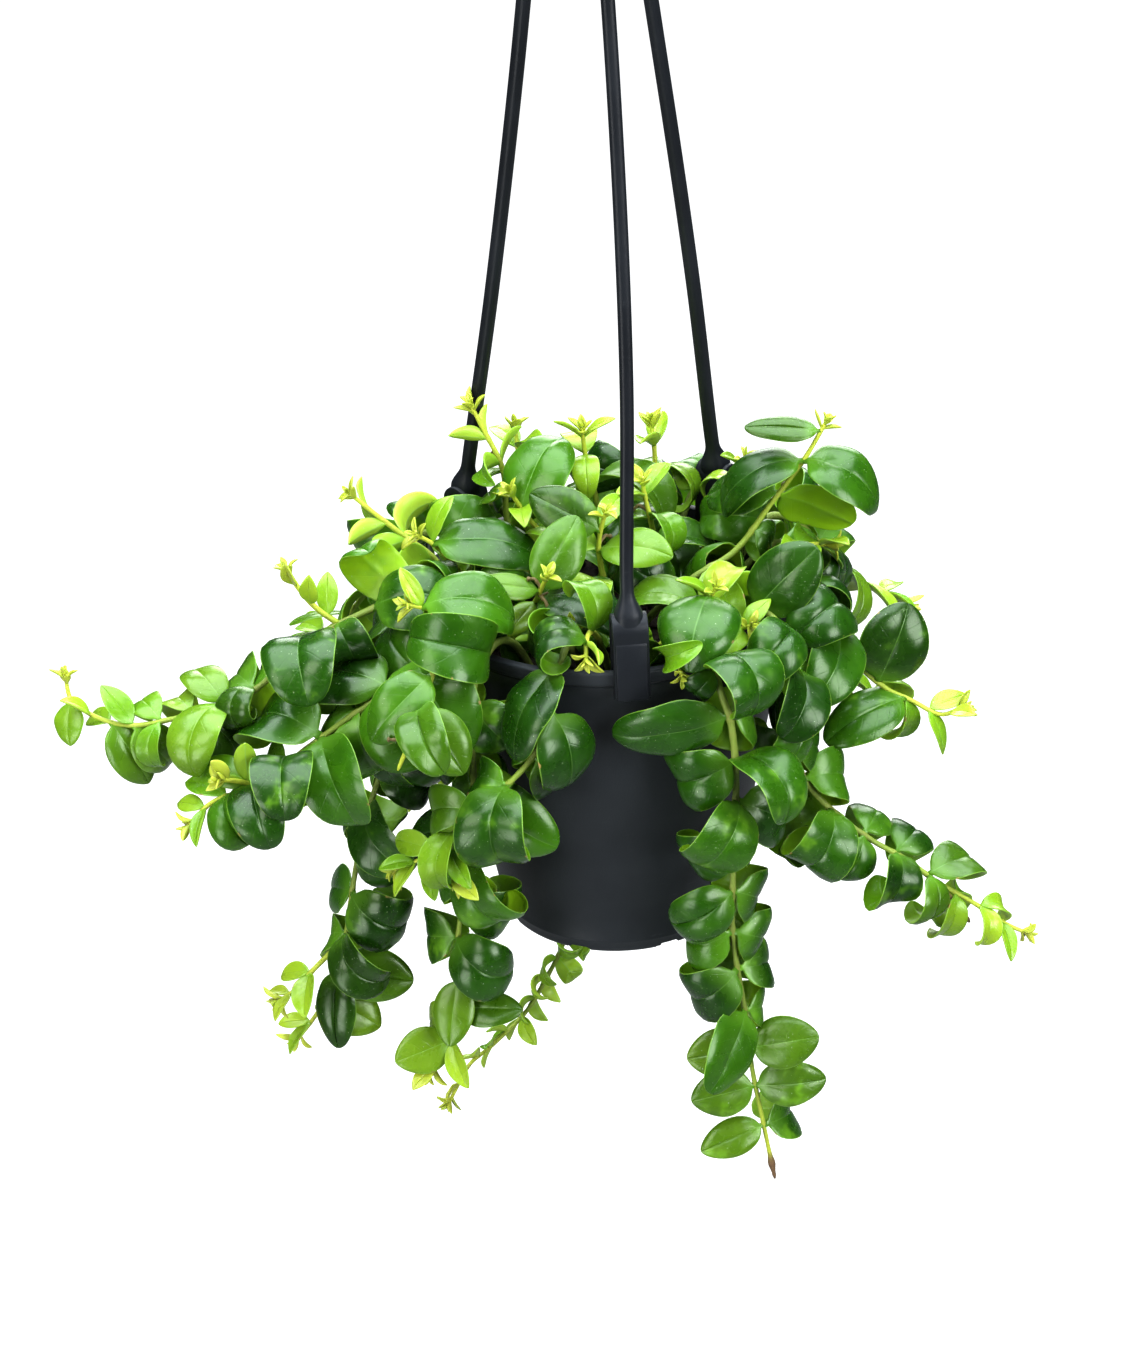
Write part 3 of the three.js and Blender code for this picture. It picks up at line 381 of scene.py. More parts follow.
# %% Grain: a fine height with a soft swell under it
grain_group, bench, given, results = new_group("fine grain", [("Scale", 900.0), ("Swell", 0.3)], ["Height"])
fine = bench.noise(given["Scale"], 3.0, 0.6)
swell = bench.noise(bench.times(given["Scale"], 0.08), 1.0)
bench.feed(bench.plus(fine, bench.times(swell, given["Swell"])), results["Height"])

# %% Scuffs: sparse short strokes where something brushed past
scuff_group, bench, given, results = new_group("scuffs", [("Scale", 120.0), ("Amount", 0.5)], ["Mask"])
strokes = bench.noise(given["Scale"], 4.0, 0.7, stretch=(1.0, 0.35, 3.5))
patches = bench.noise(bench.times(given["Scale"], 0.2), 2.0)
both = bench.times(bench.band(strokes, 0.58, 0.72), bench.band(patches, 0.48, 0.66))
bench.feed(bench.maths("MULTIPLY", both, given["Amount"], clamp=True), results["Mask"])

# %% Dust: what settles on faces that look up
dust_group, bench, given, results = new_group("settled dust", [("Scale", 60.0), ("Amount", 0.5)], ["Mask"])
facing = bench.node("ShaderNodeSeparateXYZ")
bench.feed(bench.node("ShaderNodeNewGeometry").outputs["Normal"], facing.inputs[0])
upward = bench.band(facing.outputs[2], 0.1, 0.95)
cloudy = bench.band(bench.noise(given["Scale"], 4.0, 0.6), 0.35, 0.75)
bench.feed(bench.times(bench.times(upward, cloudy), given["Amount"]), results["Mask"])
print("shared groups:", grain_group.name, scuff_group.name, dust_group.name)

# %% [markdown]
# ## Moulded plastic
# Pot and hanger are cheap injection-moulded plastic: nearly black, a little blue, satin, with a grain
# too fine to count. What tells it from a flat colour is the wear: pale scuffs, some dust, and a gloss
# that changes a little from place to place. The pot is thinner and duller than the hanger.

# %% Plastic finish
SCUFFED, DUSTY = (0.075, 0.080, 0.088), (0.095, 0.093, 0.086)


def plastic(name, dark, light, rough, scuffs, dust):
    material, bench, shader = new_material(name)
    clouds = bench.noise(22.0, 3.0)
    scuffed = bench.group(scuff_group, Scale=150.0, Amount=scuffs)["Mask"]
    dusty = bench.group(dust_group, Scale=45.0, Amount=dust)["Mask"]
    worn = bench.mix(scuffed, bench.mix(bench.band(clouds, 0.3, 0.7), dark, light), SCUFFED)
    bench.feed(bench.mix(dusty, worn, DUSTY), shader.inputs["Base Color"])
    shader.inputs["Specular IOR Level"].default_value = 0.22
    uneven = bench.band(clouds, 0.25, 0.75, rough - 0.05, rough + 0.06)
    duller = bench.plus(uneven, bench.times(dusty, 0.35))
    bench.feed(bench.plus(duller, bench.times(scuffed, 0.2)), shader.inputs["Roughness"])
    grain = bench.group(grain_group, Scale=1500.0, Swell=1.2)["Height"]
    bench.feed(bench.bump(grain, 0.00012, 0.5), shader.inputs["Normal"])
    return material


pot_plastic = plastic("pot_plastic", (0.026, 0.030, 0.035), (0.036, 0.041, 0.047),
                      rough=0.42, scuffs=0.4, dust=0.18)
hanger_plastic = plastic("hanger_plastic", (0.0105, 0.0120, 0.0150), (0.0160, 0.0185, 0.0230),
                         rough=0.36, scuffs=0.2, dust=0.1)
print("plastics:", pot_plastic.name, hanger_plastic.name)

# %% [markdown]
# ## The pot
# A hanging nursery pot: a thin tapered wall, a stiff band round the rim with a fine bead under it, one
# more bead above the foot, and a foot ring with eight notches that let water out from under the floor,
# which has eight holes. It could be made with a Screw modifier. Turning a profile by hand lets the
# notches be pressed into the foot as the rings are made, and a Boolean then drills the holes.

# %% Pot sizes and profile
RIM_R, RIM_H, RIM_INNER_R, WALL_TOP_R = 70.0, 5.0, 66.4, 67.6
POT_H, BASE_R, BASE_INNER_R, FOOT_H, FLOOR_T = 134.0, 44.6, 42.6, 4.0, 2.0
HOLE_COUNT, HOLE_R, HOLE_RING_R, NOTCH_W, NOTCH_START = 8, 3.0, 33.0, 7.0, -112.0
POT_SIDES = 176
FLOOR_Z = -POT_H + FOOT_H


def wall_radius(z):
    share = (z + RIM_H) / (-POT_H + 2.0 + RIM_H)
    return WALL_TOP_R + (BASE_R - WALL_TOP_R) * share


# From the middle of the underside out and over the foot, up the wall, over the rim and down inside.
pot_profile = [(0.0, FLOOR_Z), (20.0, FLOOR_Z), (BASE_R - 4.8, FLOOR_Z), (BASE_R - 4.4, FLOOR_Z - 0.4),
               (BASE_R - 4.0, -POT_H + 0.3), (BASE_R - 3.7, -POT_H), (BASE_R - 1.9, -POT_H),
               (BASE_R - 1.0, -POT_H + 0.25), (BASE_R - 0.4, -POT_H + 0.9), (BASE_R, -POT_H + 2.0)]
pot_profile += [(wall_radius(z) + bulge, z) for z, bulge in (
    (-129.6, 0.0), (-129.0, 0.28), (-128.4, 0.28), (-127.8, 0.0), (-110.0, 0.0), (-90.0, 0.0), (-70.0, 0.0),
    (-50.0, 0.0), (-30.0, 0.0), (-12.0, 0.0), (-7.6, 0.0), (-7.2, 0.3), (-6.7, 0.3), (-6.2, 0.0))]
pot_profile += [(WALL_TOP_R + 0.2, -RIM_H - 0.2), (RIM_R - 0.4, -RIM_H), (RIM_R - 0.08, -RIM_H + 0.3),
                (RIM_R, -RIM_H + 0.8), (RIM_R, -0.9), (RIM_R - 0.1, -0.45), (RIM_R - 0.35, -0.12),
                (RIM_R - 0.7, 0.0), (RIM_INNER_R + 0.5, 0.0), (RIM_INNER_R + 0.15, -0.15),
                (RIM_INNER_R, -0.5), (64.6, -10.0), (61.0, -30.0), (52.0, -79.0), (43.4, -125.0),
                (BASE_INNER_R + 0.2, FLOOR_Z + FLOOR_T + 1.5), (BASE_INNER_R - 0.4, FLOOR_Z + FLOOR_T + 0.5),
                (BASE_INNER_R - 1.6, FLOOR_Z + FLOOR_T), (20.0, FLOOR_Z + FLOOR_T), (0.0, FLOOR_Z + FLOOR_T)]


# %% Turn the pot and press the notches into its foot
def press_notches(ring, angles):
    """Rings at the very foot are pushed up where a notch is; all others stay as they are."""
    if ring[0][2] > -POT_H + 1.5:
        return ring
    half = NOTCH_W / 2.0 / math.hypot(ring[0][0], ring[0][1])
    for i in range(HOLE_COUNT):
        middle = math.radians(NOTCH_START + 360.0 * i / HOLE_COUNT)
        away = np.abs((angles - middle + math.pi) % (2.0 * math.pi) - math.pi)
        ring[away < half, 2] = np.maximum(ring[away < half, 2], FLOOR_Z - 0.6)
    return ring


points, faces = turned_form(pot_profile, POT_SIDES, press_notches)
pot = make_piece("pot_shell", points, faces, [pot_plastic], ("pot",))


# %% Drill the holes in its floor
def cut_out(piece, drill, slot, sharp_angle):
    """Takes the drill's forms out of a piece, and keeps edges sharp beyond an angle in degrees."""
    cutter = drill.piece("cutter", [], slot)
    cut = piece.modifiers.new("cut", "BOOLEAN")
    cut.object, cut.operation, cut.solver = cutter, "DIFFERENCE", "EXACT"
    apply_modifiers(piece)
    bpy.data.objects.remove(cutter)
    make_smooth(piece.data)
    piece.data.set_sharp_from_angle(angle=math.radians(sharp_angle))


drill = Shell()
for i in range(HOLE_COUNT):
    at = polar(HOLE_RING_R, NOTCH_START + 360.0 * (i + 0.5) / HOLE_COUNT, FLOOR_Z)
    drill.add(*swept_form([at - (0, 0, 3.0), at + (0, 0, 5.0)], HOLE_R, round_section(24), (1, 0, 0)))
cut_out(pot, drill, "pot_plastic", 38)
print("pot faces:", len(pot.data.polygons))

# %% [markdown]
# ## The hanger
# Three straps are moulded in one piece each: an arched clip that grips the rim, with a thin plate on its
# face, a short cone, and a long rod with slightly flat sides, which is why its highlight is a straight
# stripe. The rods meet in sockets under a small hub, out of the photograph, and a hook rises from it. The
# clip is a flat outline given a width, then rounded by a Bevel modifier. The rods are swept along a
# gentle bow, and the sweep widens into the cone at its lower end.

# %% Hanger sizes
ROD_R = 2.5
CLIP_W, CLIP_TOP, CLIP_OUT_R, CLIP_IN_R, CLIP_FOOT = 13.0, 17.0, 73.2, 61.8, -9.0
LEG_R, SLOT_R, CATCH_R = 64.4, RIM_R + 0.4, 68.5  # both sides of the rim's slot, and the catch below it
CLIP_ROUNDING = 0.0005  # in metres
CLIP_MIDDLE, CROWN = (CLIP_IN_R + CLIP_OUT_R) / 2, CLIP_TOP + (CLIP_OUT_R - CLIP_IN_R) / 2
HUB_R, HUB_BOTTOM, HUB_TOP, SOCKET_DEPTH, SOCKET_RING_R = 12.0, 346.0, 366.0, 8.0, 6.6
HOOK_WIRE_R, HOOK_R = 3.0, 18.0
ROD_BOW = ((0.0, 0.0), (0.04, 0.0), (0.25, 0.75), (0.5, 1.0), (0.75, 0.75))  # share of length, of bow
# Each strap has a name, a direction round the pot in degrees, and how far its rod bows along x and y.
STRAPS = [("front", -85.0, (5.0, 0.0)), ("right", 50.0, (3.0, 0.0)), ("left", 140.0, (2.5, 0.0))]


def spline_line(knots, per_span):
    """A smooth line through the knots that doesn't overshoot where they lie close together."""
    knots = [np.array(p, float) for p in knots]
    ends = [2 * knots[0] - knots[1]] + knots + [2 * knots[-1] - knots[-2]]
    places = []
    for k in range(1, len(ends) - 2):
        a, b, c, d = ends[k - 1:k + 3]
        ab, bc, cd = (max(np.linalg.norm(q - p), 1e-9) ** 0.5 for p, q in ((a, b), (b, c), (c, d)))
        start = ((b - a) / ab - (c - a) / (ab + bc) + (c - b) / bc) * bc
        stop = ((c - b) / bc - (d - b) / (bc + cd) + (d - c) / cd) * bc
        for t in np.arange(per_span) / per_span:
            places.append(b + start * t + (3 * (c - b) - 2 * start - stop) * t ** 2
                          + (2 * (b - c) + start + stop) * t ** 3)
    places.append(knots[-1])
    return np.array(places)


# %% The clip's outline and its plate
def arc(inner, outer, height, start, stop, steps):
    """Points of a round arch between two radii."""
    middle, radius = (inner + outer) / 2, (outer - inner) / 2
    turns = [start + (stop - start) * k / steps for k in range(steps + 1)]
    return [(middle + radius * math.cos(t), height + radius * math.sin(t)) for t in turns]


def extruded(outline, width):
    """A flat outline of (radius, height) given a width, as points and faces."""
    count = len(outline)
    points = [(r, -width / 2.0, z) for r, z in outline] + [(r, width / 2.0, z) for r, z in outline]
    faces = [list(range(count)), [count + k for k in range(count)][::-1]]
    faces += [[k, count + k, count + (k + 1) % count, (k + 1) % count] for k in range(count)]
    return np.array(points), faces


clip_outline = [(CLIP_OUT_R - 0.7, CLIP_FOOT), (CLIP_OUT_R, CLIP_FOOT + 1.0)]
clip_outline += arc(CLIP_IN_R, CLIP_OUT_R, CLIP_TOP, 0, math.pi, 14)
clip_outline += [(CLIP_IN_R, CLIP_FOOT + 3.0), (LEG_R, CLIP_FOOT + 3.0)]
clip_outline += arc(LEG_R, SLOT_R, CLIP_TOP, math.pi, 0, 10)
clip_outline += [(SLOT_R, -RIM_H - 0.4), (CATCH_R, -RIM_H - 0.9), (CATCH_R, CLIP_FOOT + 1.6),
                 (SLOT_R, CLIP_FOOT)]
plate_outline = [(CLIP_OUT_R - 1.0, CLIP_FOOT - 0.4), (CLIP_OUT_R + 0.45, CLIP_FOOT - 0.4),
                 (CLIP_OUT_R + 0.45, 12.5), (CLIP_OUT_R - 0.1, 13.6), (CLIP_OUT_R - 1.0, 13.6)]
print("points of the clip's outline:", len(clip_outline))


# %% Each strap: a clip, its plate, and the rod with its cone
def turned_by(points, degrees):
    angle = math.radians(degrees)
    c, s = math.cos(angle), math.sin(angle)
    return np.asarray(points, float) @ np.array([[c, s, 0.0], [-s, c, 0.0], [0.0, 0.0, 1.0]])


def hanger_piece(name, points, faces, node):
    return make_piece(name, points, faces, [hanger_plastic], (node,))


def make_rod(label, azimuth, bow):
    start = polar(CLIP_MIDDLE, azimuth, CROWN - 4.0)
    stop = polar(SOCKET_RING_R, azimuth, HUB_BOTTOM + SOCKET_DEPTH - 0.3)
    bowed = [start + (stop - start) * share + np.array([*bow, 0.0]) * push for share, push in ROD_BOW]
    bowed += [polar(SOCKET_RING_R + 1.2, azimuth, HUB_BOTTOM - 16.0),
              polar(SOCKET_RING_R, azimuth, HUB_BOTTOM - 2.0), stop]
    line = spline_line(bowed, 16)
    widen = 1.0 + 1.15 * smooth_step(9.0, -1.0, line[:, 2] - CROWN) ** 1.5
    outward = turned_by([[1.0, 0.0, 0.0]], azimuth)[0]
    form = swept_form(line, ROD_R * 0.97 * widen, squarish_section(28, 2.8), outward)
    return hanger_piece("rod_" + label, *form, "hanger_strap_" + label)


for label, azimuth, bow in STRAPS:
    parts = []
    for name, outline, width in (("clip_", clip_outline, CLIP_W), ("plate_", plate_outline, CLIP_W - 1.6)):
        points, faces = extruded(outline, width)
        parts.append(hanger_piece(name + label, turned_by(points, azimuth), faces, "hanger_strap_" + label))
        rounding = parts[-1].modifiers.new("rounding", "BEVEL")
        rounding.width, rounding.segments, rounding.limit_method = CLIP_ROUNDING, 3, "ANGLE"
        rounding.angle_limit = math.radians(40)
        apply_modifiers(parts[-1])
    parts.append(make_rod(label, azimuth, bow))
    for part in parts:
        part.data.set_sharp_from_angle(angle=math.radians(50))
    print("strap", label, "faces:", sum(len(part.data.polygons) for part in parts))

# %% [markdown]
# ## The hub and the hook
# They lie above the photograph, so they are plain and sensible: a small hub that narrows upward, with a
# socket for each rod, and a round hook whose free end bends outward, so that it slips over a ring or a
# bar with ease. A turned form and a sweep make them.

# %% Hub with its sockets
hub_profile = [(0, HUB_BOTTOM), (4.0, HUB_BOTTOM), (HUB_R - 1.6, HUB_BOTTOM), (HUB_R - 0.5, HUB_BOTTOM + 0.4),
               (HUB_R, HUB_BOTTOM + 1.6), (HUB_R, HUB_BOTTOM + 8.4), (HUB_R - 0.4, HUB_BOTTOM + 9.8),
               (HUB_R - 3.0, HUB_BOTTOM + 14.0), (HUB_R - 5.4, HUB_TOP - 2.6), (4.8, HUB_TOP - 0.4),
               (3.6, HUB_TOP), (0, HUB_TOP)]
hub = hanger_piece("hub", *turned_form(hub_profile, 64), "hanger_hook")
drill = Shell()
for _, azimuth, _ in STRAPS:
    at = polar(SOCKET_RING_R, azimuth)
    line = [at + (0, 0, HUB_BOTTOM - 3.0), at + (0, 0, HUB_BOTTOM + SOCKET_DEPTH + 0.3)]
    drill.add(*swept_form(line, ROD_R + 0.6, round_section(24), (1, 0, 0)))
cut_out(hub, drill, "hanger_plastic", 35)
print("hub faces:", len(hub.data.polygons))

# %% Hook with a rounded end
middle = HANG - HOOK_R + HOOK_WIRE_R
bends = [(0, HUB_TOP - 4), (0, HUB_TOP + 2), (5, HUB_TOP + 9), (14, HUB_TOP + 19)]
bends += [(HOOK_R * math.cos(math.radians(a)), middle + HOOK_R * math.sin(math.radians(a)))
          for a in range(0, 181, 30)]
bends += [(-HOOK_R - 1, middle - 9), (-HOOK_R - 5, middle - 16)]
line = spline_line([(x, 0.0, z) for x, z in bends], 10)
last_step = line[-1] - line[-2]
line = np.vstack([line, line[-1] + last_step * 0.3, line[-1] + last_step * 0.55])
thick = np.full(len(line), HOOK_WIRE_R - 0.05)
thick[-3:] = (HOOK_WIRE_R, HOOK_WIRE_R * 0.8, HOOK_WIRE_R * 0.35)
wire = hanger_piece("hook_wire", *swept_form(line, thick, round_section(24), (0, 1, 0)), "hanger_hook")
print("hook faces:", len(wire.data.polygons))

# %% [markdown]
# ## Potting mix
# Dark peat with bits of bark and a few pale grains shows in gaps between the stems and through the holes
# in the floor. A flat disc would look like paint. The top of a turned form is pushed up and down by
# noise, and about four hundred small broken lumps lie half sunk in it.

# %% Potting mix finish
EARTH = [(0.3, (0.010, 0.006, 0.004)), (0.55, (0.032, 0.019, 0.011)), (0.75, (0.075, 0.048, 0.03))]
potting_mix, bench, shader = new_material("potting_mix")
clumps = bench.noise(260.0, 5.0, 0.65)
crumbs = bench.noise(900.0, 4.0, 0.7)
pale = bench.band(crumbs, 0.62, 0.7)
bench.feed(bench.mix(pale, bench.ramp(clumps, EARTH), (0.15, 0.11, 0.075)), shader.inputs["Base Color"])
bench.feed(bench.band(crumbs, 0.2, 0.8, 0.8, 0.98), shader.inputs["Roughness"])
bench.feed(bench.bump(bench.plus(clumps, bench.times(crumbs, 0.6)), 0.0008), shader.inputs["Normal"])
print("finish:", potting_mix.name)

# %% The body of the potting mix, with an uneven top
SOIL_TOP = -14.0
SOIL_BOTTOM = FLOOR_Z + FLOOR_T + 0.3
SOIL_RINGS = (0.97, 0.9, 0.82, 0.74, 0.66, 0.58, 0.5, 0.42, 0.34, 0.26, 0.17, 0.08)


def inner_radius(z):
    return RIM_INNER_R + (RIM_INNER_R - BASE_INNER_R) / (POT_H - FOOT_H - FLOOR_T) * z


soil_r = inner_radius(SOIL_TOP) - 0.5
soil_profile = [(0, SOIL_BOTTOM), (20, SOIL_BOTTOM), (inner_radius(SOIL_BOTTOM) - 2.2, SOIL_BOTTOM),
                (inner_radius(SOIL_BOTTOM + 2) - 0.4, SOIL_BOTTOM + 2), (inner_radius(-70.0) - 0.5, -70.0),
                (soil_r, SOIL_TOP - 1.0)]
soil_profile += [(soil_r * share, SOIL_TOP) for share in SOIL_RINGS] + [(0, SOIL_TOP)]
points, faces = turned_form(soil_profile, 72)
for point in points:
    if point[2] > SOIL_TOP - 0.5:
        broad, small = noise.noise(Vector(point * 0.09)), noise.noise(Vector(point * 0.31))
        point[2] += 2.2 * broad + 1.0 * small - 0.4
mix = Shell()
mix.add(points, faces)

# %% Lumps: small squashed octahedra, half sunk in the top
LUMP_COUNT = 420
LUMP_POINTS = [(-1, 0, 0), (1, 0, 0), (0, -1, 0), (0, 1, 0), (0, 0, -1), (0, 0, 1)]
LUMP_FACES = [[0, 2, 5], [2, 1, 5], [1, 3, 5], [3, 0, 5], [2, 0, 4], [1, 2, 4], [3, 1, 4], [0, 3, 4]]
draw = random.Random(5)
for _ in range(LUMP_COUNT):
    spread = soil_r * 0.95 * math.sqrt(draw.random())
    at = polar(spread, draw.uniform(0, 360), SOIL_TOP + draw.uniform(-0.6, 1.0))
    size = draw.choice((1.0, 1.3, 1.8, 2.6))
    shape = np.array(LUMP_POINTS) * [[size * draw.uniform(0.5, 1.5) for _ in range(3)]]
    shape = shape * np.array([[draw.uniform(0.75, 1.25)] for _ in LUMP_POINTS])
    mix.add(turned_by(shape, draw.uniform(0, 360)) + at, LUMP_FACES)
soil = mix.piece("potting_mix_body", [potting_mix], "potting_mix", ("soil",))
soil.data.set_sharp_from_angle(angle=math.radians(40))
print("potting mix faces:", len(soil.data.polygons))

# %% [markdown]
# ## How the plant grows
# Each shoot is a line that rises from the soil and stands up in the middle or goes out over the rim,
# with leaves in pairs. Leaves near the tip are young: small, narrow and pale. Older ones curl until
# some are rolled into rings. The rule below draws the same numbers in the same order as the rule that
# made the solids, so that every fine leaf lies where its solid lies. Points are in millimetres from
# the middle of the rim.

# %% Growth numbers
# Stems: radii at the soil, of a branch and at a tip, the depth of a foot, and how much thinner a round
# stem is than the corners of its angular solid.
STEM_R, BRANCH_R, TIP_R, STEM_DEPTH, TRUE_ROUND = 1.7, 1.2, 0.8, 10.0, 0.93
# How far from its tip a shoot or a crown shoot is ripe, the length of a ripe leaf with a listed pose,
# and the place of the last pair before the tip.
RIPEN, CROWN_RIPEN, POSED_RIPE, LAST_PAIR = 62.0, 34.0, 38.0, 4.5
# Leaves: thickness of a ripe and of a young one, length of a young one, width per length, most curl.
LEAF_T, YOUNG_T, YOUNG_LEAF, LEAF_WIDTH, CURL_MOST = 1.7, 1.1, 8.0, 0.64, 5.2
# Steps along a midrib and between two points of a route, and the bare start of a branch.
FINE_STEPS, SPAN_STEPS, BRANCH_BARE = 60, 8, 5
# What a leaf tries, one after the other, until it finds room: an added turn in radians, and factors
# for its curl and its size.
TRIES = [
    (0, 1, 1), (0.35, 1, 1), (-0.35, 1, 1), (0, 1.25, 1), (0.7, 1, 1), (-0.7, 1, 1), (0, 0.75, 1),
    (0.35, 1.3, 0.9), (-0.35, 1.3, 0.9), (1.05, 1.2, 0.9), (-1.05, 1.2, 0.9), (0, 1.4, 0.8),
    (0.5, 1.3, 0.75), (-0.5, 1.3, 0.75), (0, 1.5, 0.62), (0.5, 1, 0.52), (-0.5, 1, 0.52), (0, 1, 0.42),
]
